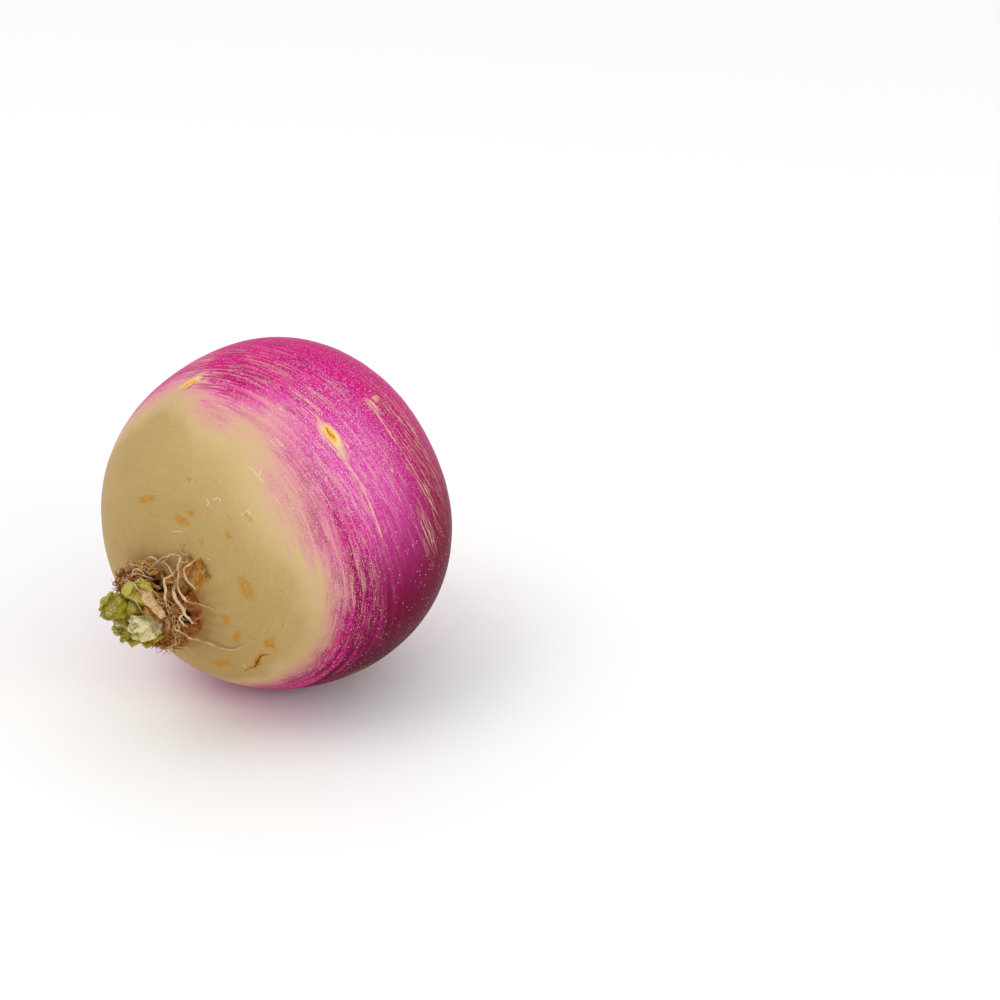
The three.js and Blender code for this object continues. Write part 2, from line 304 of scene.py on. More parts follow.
@dataclass(frozen=True)
class Globe:
    """The root's shape, in its own frame."""

    radius: float = 45.8
    crown_depth: float = 44.9
    tail_depth: float = 40.4
    tail_fullness: float = 2.15
    flare_dip: float = 60.0
    taproot_radius: float = 3.3
    cut_radius: float = 2.5
    cut_dome: float = 0.4
    taproot_length: float = 9.5
    fillet: float = 0.6
    neck_radius: float = 6.2
    neck_top: float = 49.2
    neck_rounding: float = 1.4
    lobes: tuple[Lobe, ...] = (Lobe(2, 0.011, 95), Lobe(3, 0.0115, -40), Lobe(4, 0.016, -17))

    def height(self, distance: np.ndarray | float) -> np.ndarray | float:
        """Height of the bare globe on the crown's side at a distance from the axis."""
        return self.crown_depth * np.sqrt(1 - (distance / self.radius) ** 2)

    def tail(self, dip: np.ndarray) -> np.ndarray:
        """Outline points below the widest ring, by an angle in radians."""
        power = 2 / self.tail_fullness
        return np.stack([self.radius * np.cos(dip) ** power, -self.tail_depth * np.sin(dip) ** power], -1)

    def outline(self, count: int) -> np.ndarray:
        """The outline from the taproot's cut end to the neck's top, both on the axis.

        Args:
            count: How many points are wanted, evenly spaced.

        Returns:
            Distances from the axis and heights, count by 2.
        """
        end = -self.tail_depth - self.taproot_length
        leave = self.tail(np.radians(np.array([self.flare_dip])))[0]
        after = self.tail(np.radians(np.array([self.flare_dip + 1])))[0]
        inward = (after - leave) / np.linalg.norm(after - leave)
        controls = np.array([
            [self.taproot_radius, end + self.taproot_length / 2],
            [self.taproot_radius * 1.5, -self.tail_depth - self.fillet],
            leave + inward * self.taproot_length,
            leave,
        ])
        t = np.linspace(0, 1, 200)[:, None]
        weights = [(1 - t) ** 3, 3 * t * (1 - t) ** 2, 3 * t ** 2 * (1 - t), t ** 3]
        flare = sum(w * c for w, c in zip(weights, controls))
        belly = self.tail(np.radians(np.linspace(self.flare_dip, 0, 400)[1:-1]))
        top = math.asin(self.neck_radius / self.radius)
        arc = np.linspace(math.pi / 2, top, 800)
        shoulder = np.stack([self.radius * np.sin(arc), self.crown_depth * np.cos(arc)], -1)
        neck = np.array([
            [self.neck_radius, self.neck_top - self.neck_rounding],
            [self.neck_radius - self.neck_rounding, self.neck_top - self.neck_rounding / 3],
            [0, self.neck_top],
        ])
        cut = np.array([[0, end - self.cut_dome], [self.cut_radius, end]])
        line = np.concatenate([cut, flare, belly, shoulder, neck])
        run = np.concatenate([[0], np.cumsum(np.linalg.norm(np.diff(line, axis=0), axis=1))])
        even = np.linspace(0, run[-1], count)
        return np.stack([np.interp(even, run, line[:, i]) for i in (0, 1)], -1)

    def swell(self, points: np.ndarray) -> np.ndarray:
        """Moves points of the round outline out or in by the lobes.

        Args:
            points: The points.

        Returns:
            The moved points.
        """
        turn = np.arctan2(points[:, 1], points[:, 0])
        out = points[:, 0] ** 2 + points[:, 1] ** 2
        belt = out / (out + points[:, 2] ** 2)
        share = 1 + belt * sum(
            lobe.size * np.cos(lobe.count * (turn - math.radians(lobe.turn))) for lobe in self.lobes
        )
        return points * np.stack([share, share, np.ones_like(share)], -1)

    def place(self, dip: float, turn: float) -> np.ndarray:
        """The point of the bare globe at a place.

        Args:
            dip: Degrees from the crown.
            turn: Degrees round the axis.

        Returns:
            The point.
        """
        a = math.radians(dip)
        power = 2.0 if dip <= 90 else self.tail_fullness
        depth = self.crown_depth if dip <= 90 else self.tail_depth
        reach = (math.sin(a) / self.radius) ** power + (abs(math.cos(a)) / depth) ** power
        reach **= -1 / power
        t = math.radians(turn)
        out = reach * math.sin(a)
        return self.swell(np.array([[out * math.cos(t), out * math.sin(t), reach * math.cos(a)]]))[0]

    def axes(self, dip: float, turn: float, slant: float = 0.0) -> Matrix:
        """Directions at a place on the globe: along its ring, up towards the crown, and out.

        Args:
            dip: Degrees from the crown.
            turn: Degrees round the axis.
            slant: Degrees that the first two are turned about the third.

        Returns:
            A matrix whose columns are the three directions.
        """
        step = 0.5
        ring = Vector(self.place(dip, turn + step) - self.place(dip, turn - step)).normalized()
        down = Vector(self.place(dip + step, turn) - self.place(dip - step, turn)).normalized()
        out = down.cross(ring).normalized()
        if out.dot(Vector(self.place(dip, turn))) < 0:
            out.negate()
        down = out.cross(ring).normalized()
        axes = Matrix((ring, down, out)).transposed()
        return axes @ Matrix.Rotation(math.radians(slant), 3, "Z")

    def local(self, mark: Mark, points: np.ndarray) -> np.ndarray:
        """Points as seen from a mark.

        Args:
            mark: The mark.
            points: The points.

        Returns:
            The points along and across the mark and off the skin, in units of its half sizes.
        """
        axes = np.array(self.axes(mark.dip, mark.turn, mark.slant))
        size = np.array([mark.along, mark.across, max(mark.along, mark.across)])
        return (points - self.place(mark.dip, mark.turn)) @ axes / size


LYING = Lying()
GLOBE = Globe()


def full_turn(count: int) -> np.ndarray:
    """Evenly spaced angles all the way round, in radians."""
    return np.linspace(0, 2 * math.pi, count, endpoint=False)


def waves(points: np.ndarray, length: float, count: int, seed: int) -> np.ndarray:
    """Smooth random hills, as the mean of a few waves in random directions.

    Args:
        points: Where the hills are read.
        length: The mean wavelength, in the points' units.
        count: How many waves are used.
        seed: Picks their directions.

    Returns:
        Heights of about -1 to 1.
    """
    draw = np.random.default_rng(seed)
    aims = draw.normal(size=(count, 3))
    aims /= np.linalg.norm(aims, axis=1, keepdims=True)
    aims *= 2 * math.pi / length * draw.uniform(0.7, 1.4, size=(count, 1))
    starts = draw.uniform(0, 2 * math.pi, size=count)
    return np.sin(points @ aims.T + starts).sum(1) / math.sqrt(count)


def link_object(name: str, data: bpy.types.ID) -> bpy.types.Object:
    """Makes an object and links it to the scene.

    Args:
        name: The object's name.
        data: Its mesh, lamp or camera.

    Returns:
        The object.
    """
    made = bpy.data.objects.new(name, data)
    bpy.context.scene.collection.objects.link(made)
    return made


def make_piece(name: str, points: np.ndarray, faces: Sequence[Sequence[int]], finish: bpy.types.Material,
               uv: np.ndarray | None = None) -> bpy.types.Object:
    """Makes a smooth mesh object at the origin.

    Args:
        name: The piece's name.
        points: Corners in metres.
        faces: Corner numbers of each face.
        finish: The material.
        uv: A place on the flat for each corner of each face, in order.

    Returns:
        The object, linked to the scene.
    """
    mesh = bpy.data.meshes.new(name)
    mesh.from_pydata([tuple(p) for p in points], [], [tuple(f) for f in faces])
    mesh.polygons.foreach_set("use_smooth", [True] * len(mesh.polygons))
    mesh.materials.append(finish)
    if uv is not None:
        layer = mesh.uv_layers.new(name="OFBake")
        layer.data.foreach_set("uv", uv.astype(np.float32).ravel())
    mesh.update()
    return link_object(name, mesh)


def claim(piece: bpy.types.Object, slot: Slot, *nodes: str) -> None:
    """Makes a piece ride on the root, hides the CAD nodes it stands for, and logs it with its slot.

    Args:
        piece: The finished piece.
        slot: The record's slot that its finish belongs to.
        nodes: CAD nodes that it replaces.
    """
    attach(piece, BODY)
    if nodes:
        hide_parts(*nodes)
    log.info("%s: %d faces, slot %s", piece.name, len(piece.data.polygons), slot.value)


# ---- Shapes that the crown's pieces are made of


@dataclass(frozen=True)
class Crown:
    """The corky collar round the neck: wider, taller and further out on one side."""

    radius: float = 8.4
    half_width: float = 2.9
    middle: float = 44.2
    half_height: float = 5.6
    full_side: float = math.radians(150)
    lean: float = 0.7
    widening: float = 0.16
    heightening: float = 0.08
    ripple: float = 0.05
    fine_ripple: float = 0.03
    globe: Globe = GLOBE

    def section(self, turn: np.ndarray) -> tuple[np.ndarray, np.ndarray, np.ndarray]:
        """The ring's cross-section.

        Args:
            turn: Where it's cut, in radians.

        Returns:
            Its middle's distance from the axis, its half width and its half height.
        """
        side = np.cos(turn - self.full_side)
        ripple = self.ripple * np.cos(5 * turn) + self.fine_ripple * np.cos(9 * turn + 2)
        wide = self.half_width * (1 + self.widening * side + ripple)
        tall = self.half_height * (1 + self.heightening * side + ripple)
        return self.radius + self.lean * side, wide, tall

    def height(self, turn: float, distance: float, clear: float) -> float:
        """Height that clears both the collar and the bare globe.

        Args:
            turn: Degrees round the crown.
            distance: Distance from the axis.
            clear: How far off them it stays.

        Returns:
            The height.
        """
        middle, wide, tall = self.section(math.radians(turn))
        across = (distance - middle) / (wide + clear)
        ring = (tall + clear) * math.sqrt(max(1 - across ** 2, 0.0))
        bare = self.globe.height(distance) + clear
        return max(bare, self.middle + ring) if abs(across) < 1 else bare


CROWN = Crown()


def polar(turn: float, distance: float, height: float) -> np.ndarray:
    """A point from its turn in degrees, its distance from the axis and its height."""
    t = math.radians(turn)
    return np.array([distance * math.cos(t), distance * math.sin(t), height])


def unit(vectors: np.ndarray) -> np.ndarray:
    """Vectors cut down to a length of 1."""
    return vectors / np.linalg.norm(vectors, axis=-1, keepdims=True)


def smooth(marks: np.ndarray, count: int) -> np.ndarray:
    """A curve through some points.

    Args:
        marks: The points in order.
        count: How many points the curve gets.

    Returns:
        Points of the curve, each stretch between marks with an equal share of them.
    """
    ends = np.concatenate([2 * marks[:1] - marks[1:2], marks, 2 * marks[-1:] - marks[-2:-1]])
    at = np.linspace(0, len(marks) - 1, count)
    i = np.minimum(at.astype(int), len(marks) - 2)
    t = (at - i)[:, None]
    a, b, c, d = (ends[i + k] for k in range(4))
    bend = (c - a) * t + (2 * a - 5 * b + 4 * c - d) * t ** 2 + (3 * b - a - 3 * c + d) * t ** 3
    return b + 0.5 * bend


@dataclass
class Shell:
    """A closed body: rings of corners that run from one pole to the other.

    Each ring goes anticlockwise for someone who looks back along the run.
    """

    rings: np.ndarray
    start: np.ndarray
    end: np.ndarray
    paint: dict[str, np.ndarray] = field(default_factory=dict)

    @property
    def points(self) -> np.ndarray:
        """All corners: the rings in order, then the two poles."""
        return np.concatenate([self.rings.reshape(-1, 3), [self.start, self.end]])

    def faces(self, first: int = 0) -> list[tuple[int, ...]]:
        """Faces of the body.

        Args:
            first: Number of the body's first corner.

        Returns:
            Corner numbers of each face.
        """
        rows, n = self.rings.shape[:2]
        made: list[tuple[int, ...]] = []
        for row in range(rows - 1):
            a, b = first + row * n, first + (row + 1) * n
            made += [(a + k, a + (k + 1) % n, b + (k + 1) % n, b + k) for k in range(n)]
        low, last, high = first + rows * n, first + (rows - 1) * n, first + rows * n + 1
        made += [(first + (k + 1) % n, first + k, low) for k in range(n)]
        made += [(last + k, last + (k + 1) % n, high) for k in range(n)]
        return made

    def outward(self) -> np.ndarray:
        """Directions out of the body.

        Returns:
            A unit vector for each of the rings' corners.
        """
        around = np.roll(self.rings, -1, axis=1) - np.roll(self.rings, 1, axis=1)
        out = np.cross(around, np.gradient(self.rings, axis=0))
        return out / (np.linalg.norm(out, axis=-1, keepdims=True) + 1e-9)

    def swell(self, amount: np.ndarray) -> None:
        """Moves the rings' corners outwards by an amount in millimetres for each."""
        self.rings = self.rings + self.outward() * amount[..., None]

    def hills(self, length: float, count: int, seed: int) -> np.ndarray:
        """Smooth random hills of about -1 to 1 over the rings."""
        flat = waves(self.rings.reshape(-1, 3), length, count, seed)
        return flat.reshape(self.rings.shape[:2])


def build_shells(name: str, shells: Sequence[Shell], finish: bpy.types.Material) -> bpy.types.Object:
    """Makes one object of several closed bodies and carries their paint over.

    Args:
        name: The piece's name.
        shells: The bodies, in the root's own frame.
        finish: The material.

    Returns:
        The object, laid down.
    """
    points: list[np.ndarray] = []
    faces: list[tuple[int, ...]] = []
    paint: dict[str, list[np.ndarray]] = {key: [] for shell in shells for key in shell.paint}
    first = 0
    for shell in shells:
        points.append(shell.points)
        faces += shell.faces(first)
        first += len(shell.points)
        for key, values in paint.items():
            given = shell.paint.get(key, np.zeros(shell.rings.shape[:2]))
            values.append(np.append(given.ravel(), [given[0].mean(), given[-1].mean()]))
    piece = make_piece(name, LYING.down(np.concatenate(points)), faces, finish)
    for key, values in paint.items():
        layer = piece.data.attributes.new(key, "FLOAT", "POINT")
        layer.data.foreach_set("value", np.concatenate(values).astype(np.float32))
    return piece


@dataclass(frozen=True)
class Strand:
    """A root fibre that lies over the crown.

    Its route is a row of turns, distances from the axis and lifts off what lies under it. A free
    strand has plain heights in place of the lifts.
    """

    radius: float
    route: tuple[Triple, ...]
    thin: float = 0.45
    tail: float = 1.0
    wobble: float = 0.10
    free: bool = False
    seed: int = 1
    steps: int = 72
    sides: int = 8

    def shell(self) -> Shell:
        """Makes the fibre.

        Returns:
            A tapered, slightly knobbly tube.
        """
        clear = self.radius + GAP
        marks = [polar(t, d, up if self.free else CROWN.height(t, d, clear + up)) for t, d, up in self.route]
        line = smooth(np.array(marks), self.steps)
        pushes = [waves(line, length=3.2, count=7, seed=self.seed + k) for k in range(3)]
        line += self.wobble * np.stack(pushes, -1)
        return tube(line, self.radius, self.thin, self.tail, self.sides, self.seed)


def tube(line: np.ndarray, radius: float, thin: float, tail: float, sides: int, seed: int) -> Shell:
    """A tube along a line.

    Args:
        line: Its middle line.
        radius: Its greatest radius.
        thin: Its radius at both ends, as a share.
        tail: How much of its thickness its second half keeps, as a share.
        sides: Corners of its section.
        seed: Picks where it's thicker.

    Returns:
        The tube.
    """
    ahead = unit(np.gradient(line, axis=0))
    side = unit(np.cross(ahead, unit(line)))
    face = np.cross(side, ahead)
    share = np.linspace(0, 1, len(line))
    thick = thin + (1 - thin) * np.sin(math.pi * share) ** 0.6
    thick = thick * (1 - (1 - tail) * np.clip(3 * share - 1, 0, 1))
    thick = radius * thick * (1 + 0.16 * waves(line, length=1.7, count=6, seed=seed + 9))
    turns = full_turn(sides)
    around = face[:, None] * np.cos(turns)[:, None] + side[:, None] * np.sin(turns)[:, None]
    rings = line[:, None] + around * thick[:, None, None]
    return Shell(rings, line[0] - ahead[0] * radius * 0.3, line[-1] + ahead[-1] * radius * 0.3)


@dataclass(frozen=True)
class Stub:
    """A stump that bends from its foot to its tip and ends in a cut.

    Attributes:
        foot: Turn, distance and height of its lower end.
        tip: Turn, distance and height of its cut end.
        width: Its size round the crown at the foot.
        depth: Its size away from the crown's axis at the foot.
        spread: How much wider it is at the tip, as a share.
        curl: How far its edges bend inwards.
        ribs: How deep its ribs are, as a share of its radius.
        boxy: 1 for an oval section, less for a squarer one.
        rounding: How much it narrows at both ends, as a share.
        slant: How far the cut leans across its width, as a share of it.
        tilt: How far the cut leans across its depth, as a share of it.
        dome: How far the middle of the cut stands out.
        lump: Height of its large lumps.
        grain: Height of the crumbs on the cut.
        ragged: How far the edge of the cut is torn.
        tone: Which of the finish's colours it takes, from 0 to 1.
        seed: Picks its lumps.
    """

    foot: Triple
    tip: Triple
    width: float
    depth: float
    spread: float = 0.4
    curl: float = 0.4
    ribs: float = 0.04
    boxy: float = 1.0
    rounding: float = 0.0
    slant: float = 0.0
    tilt: float = 0.0
    dome: float = 0.3
    lump: float = 0.25
    grain: float = 0.12
    ragged: float = 0.0
    tone: float = 0.5
    seed: int = 1
    rows: int = 34
    cap_rows: int = 16
    sides: int = 72

    def shell(self) -> Shell:
        """Makes the stump.

        Returns:
            A closed body, painted with where it's cut, with its tone and with its torn edges.
        """
        start, end = polar(*self.foot), polar(*self.tip)
        rise = np.array([start[0], start[1], (start[2] + end[2]) / 2])
        share = np.concatenate([np.linspace(0, 1, self.rows), np.ones(self.cap_rows)])[:, None]
        inset = np.concatenate([np.ones(self.rows), np.linspace(1, 0, self.cap_rows + 1)[:-1]])[:, None]
        centre = (1 - share) ** 2 * start + 2 * share * (1 - share) * rise + share ** 2 * end
        ahead = unit(2 * (1 - share) * (rise - start) + 2 * share * (end - rise) + 1e-6 * (end - start))
        outward = polar(self.foot[0], 1, 0)
        side = unit(np.cross(outward, ahead))
        face = np.cross(ahead, side)
        turns = full_turn(self.sides)[None]
        grow = (1 + self.spread * share) * (1 + self.ribs * np.cos(7 * turns + self.seed)) * inset
        grow = grow * np.sqrt(1 - self.rounding * (2 * share - 1) ** 4)
        wide, deep = (np.sign(part) * np.abs(part) ** self.boxy for part in (np.cos(turns), np.sin(turns)))
        across = 0.5 * self.width * grow * wide
        out = 0.5 * self.depth * grow * deep
        lean = share ** 2 * (self.slant * across + self.tilt * out) + (1 - inset ** 2) * self.dome
        torn = 0.6 * np.sin(5 * turns + self.seed) + 0.4 * np.sin(11 * turns + 2 * self.seed)
        lean += share ** 3 * self.ragged * torn * inset
        out = out - self.curl * (across / self.width) ** 2
        rings = centre[:, None] + side[:, None] * across[..., None] + face[:, None] * out[..., None]
        rings += ahead[:, None] * lean[..., None]
        cut = np.repeat(np.clip((1 - inset) * 8, 0, 1), self.sides, axis=1)
        rim = np.maximum(np.abs(np.cos(turns)) ** 6 + 0 * share, share ** 12)
        paint = {"cut": cut, "tone": np.full_like(cut, self.tone), "rim": rim}
        body = Shell(rings, start, rings[-1].mean(0), paint)
        coarse = body.hills(length=2.6, count=9, seed=self.seed)
        fine = body.hills(length=1.1, count=14, seed=self.seed + 5)
        body.swell(self.lump * coarse + 0.3 * self.lump * fine)
        body.swell(cut * self.grain * body.hills(length=0.6, count=40, seed=self.seed + 7))
        return body


@dataclass(frozen=True)
class Flake(Stub):
    """A stub that is as thin as paper."""

    dome: float = 0.0
    grain: float = 0.0
    ribs: float = 0.0
    rows: int = 40
    cap_rows: int = 5
    sides: int = 64


@dataclass(frozen=True)
class Growth:
    """A piece at the crown, made of one stub or of a few that run together."""

    name: str
    slot: Slot
    stubs: tuple[Stub, ...]

    def build(self, finish: bpy.types.Material, node: str) -> None:
        """Makes the piece in place of a CAD node."""
        claim(build_shells(self.name, [stub.shell() for stub in self.stubs], finish), self.slot, node)


# ---- Finishes


def new_material(name: str) -> tuple[bpy.types.Material, Graph]:
    """Starts a material.

    Args:
        name: Its name.

    Returns:
        The empty material and its graph.
    """
    material = bpy.data.materials.new(name)
    material.use_nodes = True
    return material, Graph(material.node_tree)


def close(graph: Graph, colour: Value, roughness: Value, more: dict[str, Value]) -> None:
    """Ends a shader graph in a Principled surface, whose other sockets are given by their names."""
    inputs = {"Base Color": colour, "Roughness": roughness} | more
    graph.node("ShaderNodeOutputMaterial", (graph.wire("ShaderNodeBsdfPrincipled", inputs),))


class SkinField:
    """Where a place on the skin lies, its sides, and the noises that the skin's layers share."""

    def __init__(self, graph: Graph, lying: Lying, level_dip: float) -> None:
        """Finds the place and reads the noises, each of them about 0.

        Args:
            graph: The graph.
            lying: How the root lies.
            level_dip: The dip at which the streaks run level with the rings.
        """
        self.graph = graph
        self.place = upright_place(graph, lying)
        self.x, self.y, self.z = graph.split(self.place)
        out = off_axis(graph, self.x, self.y)
        self.dip = graph.math("ARCTAN2", out, self.z) * math.degrees(1)
        self.east = self.x / out
        self.north = self.y / out
        self.swirl = (self.dip - level_dip) * (1.0 + self.toward(100) * 0.37)
        self.grain = self.noise(2.3, 1.5, 0.7)
        self.stipple = self.noise(4.6, 1.0, 0.6)
        self.cloud = self.noise(0.11, 3.0, 0.55)
        self.long = self.streaks(34.0, 1.7, 3.0, 0.55)
        self.mid = self.streaks(15.0, 0.85, 3.0, 0.6)
        self.thin = self.streaks(8.0, 0.45, 2.0, 0.6)

    def noise(self, scale: float, detail: float = 2.0, rough: float = 0.5) -> Wire:
        """Cloudy noise about 0, as Graph.noise has it about 0.5."""
        return self.graph.noise(self.place, scale, detail, rough) - 0.5

    def toward(self, turn: float) -> Wire:
        """1 at a turn, fading to -1 on the other side of the root."""
        t = math.radians(turn)
        return self.east * math.cos(t) + self.north * math.sin(t)

    def facing(self, turn: float, sharp: float) -> Wire:
        """1 at a turn, fading to 0 a quarter of the way round, and faster if it's sharp."""
        return self.graph.math("MAXIMUM", self.toward(turn), 0.0) ** sharp

    def streaks(self, length: float, fine: float, detail: float, rough: float) -> Wire:
        """Noise about 0, drawn out along the rings.

        Args:
            length: The streaks' length, in degrees.
            fine: Their thickness, in degrees.
            detail: Octaves.
            rough: How strong the finer octaves are.

        Returns:
            The noise.
        """
        around = math.degrees(1) / length
        rise = self.swirl * (1 / fine) + around * 3.0
        run = self.graph.join(self.east * around, self.north * around, rise)
        return self.graph.noise(run, 1.0, detail, rough) - 0.5


@dataclass(frozen=True)
class SkinFinish:
    """The root's skin: cream at the crown, streaked magenta below, with its spots and scars."""

    globe: Globe = GLOBE
    lying: Lying = LYING
    cream: Colour = srgb(185, 157, 104)
    cream_deep: Colour = srgb(173, 141, 82)
    cream_pale: Colour = srgb(212, 186, 134)
    ochre: Colour = srgb(182, 124, 18)
    magenta: Colour = srgb(202, 0, 120)
    magenta_deep: Colour = srgb(150, 0, 78)
    # These two are partly the skin's own deeper colour and partly painted shade on the lower side.
    crimson: Colour = srgb(112, 0, 20)
    maroon_and_shade: Colour = srgb(54, 0, 5)
    rose: Colour = srgb(226, 74, 176)
    blush: Colour = srgb(220, 158, 150)
    straw: Colour = srgb(226, 182, 156)
    straw_pale: Colour = srgb(224, 194, 150)
    ash: Colour = srgb(218, 150, 158)
    # Painted shade: a darker cream for the lower side.
    painted_shade_cream: Colour = srgb(166, 118, 84)
    # Painted shade: a darker rose for the fringe on the lower side.
    painted_shade_rose: Colour = srgb(160, 34, 84)
    grain: Colour = srgb(246, 196, 226)
    lenticel: Colour = srgb(240, 172, 48)
    lenticel_rim: Colour = srgb(238, 214, 150)
    slit: Colour = srgb(96, 54, 10)
    scar: Colour = srgb(124, 46, 12)
    crack: Colour = srgb(238, 224, 186)
    dots: Colour = srgb(122, 78, 34)
    bark: Colour = srgb(134, 98, 62)
    stain: Colour = srgb(150, 96, 44)
    relief: float = 0.0004  # metres
    level_dip: float = 84.0  # where the streaks run level with the rings
    edge_dip: float = 60.0  # where the purple begins
    edge_sway: float = 13.0
    edge_turn: float = 115.0
    edge_bays: tuple[Triple, ...] = (  # turn, sharpness, and how much lower the purple begins there
        (-12, 6, 4.0), (88, 60, -4.0), (112, 60, 3.0), (33, 24, -3.0), (-28, 24, -3.0), (70, 80, 3.0),
    )
    edge_wander: float = 8.0
    edge_flutter: float = 4.0
    edge_softness: float = 3.0
    edge_soft_bays: tuple[Triple, ...] = ((58, 6, 3.5), (130, 10, 1.0))
    comb: Triple = (5.0, 4.6, 3.0)  # how far the long, middling and thin streaks shift the edge
    sprinkle: float = 5.0  # how far the stipple does
    # Painted light and shade: the cream paler on one side and darker on the lower side.
    painted_light_side: Side = (20, 1)
    painted_shade_side: Side = (-62, 3)
    painted_shade_cream_side: Side = (-45, 4)
    painted_shade_rose_side: Side = (-32, 3)
    crimson_and_shade_side: Side = (-10, 3)
    maroon_and_shade_side: Side = (-42, 4)
    far_side: Side = (-140, 2)
    painted_sheen_side: Side = (38, 7)
    belt_side: Side = (20, 4)
    crest_side: Side = (104, 5)
    flecks_per_mm: float = 0.62
    grains_per_mm: float = 3.1
    dots_per_mm: float = 1.1
    blotches: tuple[Mark, ...] = (
        Mark(35.0, 108.5, 3.0, 0.9), Mark(31.2, 79.5, 2.4, 1.0), Mark(34.8, 76.0, 1.3, 0.6),
        Mark(31.8, 22.0, 3.2, 1.6), Mark(25.2, -18.0, 2.0, 1.0), Mark(21.8, -2.0, 1.6, 0.9),
        Mark(35.2, -18.0, 1.8, 1.3), Mark(27.0, -58.0, 3.2, 1.7), Mark(37.0, 52.0, 1.1, 0.7),
        Mark(45.5, 52.0, 2.0, 0.6), Mark(43.5, 84.0, 0.8, 0.5), Mark(29.0, 62.0, 0.9, 0.6),
    )
    eyes: tuple[Mark, ...] = (
        Mark(82.0, 52.6, 3.3, 1.55, -3.0), Mark(75.7, 105.4, 2.9, 1.2, 30.0),
    )
    cores: tuple[Mark, ...] = (
        Mark(81.8, 52.8, 2.4, 0.95, -6.0), Mark(75.4, 105.9, 2.3, 0.75, 29.0),
    )
    slits: tuple[Mark, ...] = (
        Mark(81.9, 53.6, 1.5, 0.16, -10.0), Mark(82.2, 51.9, 0.8, 0.1, -2.0),
    )
    bruises: tuple[Mark, ...] = (
        Mark(71.2, -43.6, 5.0, 0.75, -45.0), Mark(34.8, -18.4, 1.1, 0.6),
        Mark(36.8, -20.6, 1.3, 0.5, 40.0), Mark(36.4, -14.0, 1.1, 0.5),
    )
    tails: tuple[Mark, ...] = (
        *strokes(1.2, (81.3, 50.2), (80.9, 46.6)),
        *strokes(0.85, (81.0, 47.6), (80.6, 43.8)),
        *strokes(0.6, (80.6, 45.0), (80.0, 39.7)),
        *strokes(0.4, (80.1, 40.4), (80.3, 35.8), (80.0, 30.0)),
        *strokes(0.27, (80.0, 30.6), (79.2, 22.4), (78.4, 16.5)),
        *strokes(0.36, (79.9, 49.0), (79.5, 43.6)),
        *strokes(0.26, (84.0, 49.0), (83.6, 43.4)),
        *strokes(0.7, (82.4, 59.0), (79.3, 54.2)),
        *strokes(1.2, (74.2, 108.3), (79.9, 102.8)),
        *strokes(0.3, (102.4, 50.7), (101.5, 43.9), (101.7, 37.2)),
        Mark(103.0, 52.0, 2.2, 1.1, 10.0), Mark(106.6, 53.2, 1.5, 0.8, 90.0), Mark(93.8, 31.8, 0.7, 0.6),
    )
    sheaves: tuple[Mark, ...] = (
        Mark(104.0, 24.0, 14.0, 2.4), Mark(112.0, 34.0, 16.0, 3.4), Mark(97.0, 8.0, 9.0, 2.2),
        Mark(88.0, 113.0, 6.0, 1.4, 4.0),
    )
    scars: tuple[Mark, ...] = (
        *strokes(0.12, (33.7, -50.9), (33.8, -47.5), (34.4, -43.0)),
        *strokes(0.26, (34.5, -43.6), (34.6, -40.6), (33.5, -36.6)),
        *strokes(0.34, (34.4, -39.6), (33.8, -33.2)),
        *strokes(0.24, (33.9, -33.8), (34.0, -29.8), (34.9, -28.2)),
        *strokes(0.13, (34.8, -39.8), (35.6, -38.0)),
        *strokes(0.11, (73.9, 107.0), (75.3, 105.0), (76.2, 103.8)),
        *strokes(0.09, (72.8, 105.7), (73.9, 103.8), (75.6, 103.5)),
    )
    creases: tuple[Mark, ...] = (
        *strokes(0.3, (34.8, -28.4), (36.1, -27.0)),
        *strokes(0.1, (33.7, -48.5), (36.5, -52.6), (37.6, -58.7)),
    )
    cracks: tuple[Mark, ...] = (
        *strokes(0.11, (56.2, 64.2), (56.4, 62.3), (55.9, 59.1), (55.8, 56.2)),
        *strokes(0.11, (55.9, 59.1), (58.8, 60.5)),
        *strokes(0.1, (31.2, -44.7), (33.1, -47.8)),
        *strokes(0.1, (26.1, -31.6), (27.3, -27.2)),
        *strokes(0.12, (41.0, 71.9), (40.5, 69.2), (39.3, 69.4)),
        *strokes(0.12, (42.0, 68.1), (43.4, 66.9), (43.0, 64.8)),
        *strokes(0.1, (44.3, 54.0), (46.5, 53.6), (46.3, 51.2)),
        *strokes(0.1, (26.7, 84.5), (28.1, 75.9)),
    )

    def spot(self, graph: Graph, place: Wire, mark: Mark) -> Wire:
        """Measures how far off a mark is.

        Args:
            graph: The graph.
            place: The place in the root's frame.
            mark: The mark.

        Returns:
            The squared distance from its middle, in units of its half length and half width.
        """
        along = mark.along ** -2
        across = mark.across ** -2
        flank = self.globe.axes(mark.dip, mark.turn, mark.slant).col[1] * math.sqrt(across - along)
        off = graph.vector("SUBTRACT", place, tuple(self.globe.place(mark.dip, mark.turn)))
        aside = graph.vector("DOT_PRODUCT", off, tuple(flank))
        return graph.math("MULTIPLY_ADD", graph.vector("DOT_PRODUCT", off, off), along, aside * aside)

    def away(self, graph: Graph, place: Wire, marks: Sequence[Mark]) -> Wire:
        """Measures how far off the nearest of some marks is.

        Args:
            graph: The graph.
            place: The place in the root's frame.
            marks: The marks.

        Returns:
            The distance from its middle, in units of its half length and half width.
        """
        nearest = self.spot(graph, place, marks[0])
        for mark in marks[1:]:
            nearest = graph.math("MINIMUM", nearest, self.spot(graph, place, mark))
        return graph.math("SQRT", nearest)

    def spots(self, graph: Graph, place: Wire, marks: Sequence[Mark], edge: float) -> Wire:
        """1 inside any of some marks and 0 outside, with an edge as soft as a share of their size."""
        return graph.step(self.away(graph, place, marks), 1 + edge, 1 - edge)

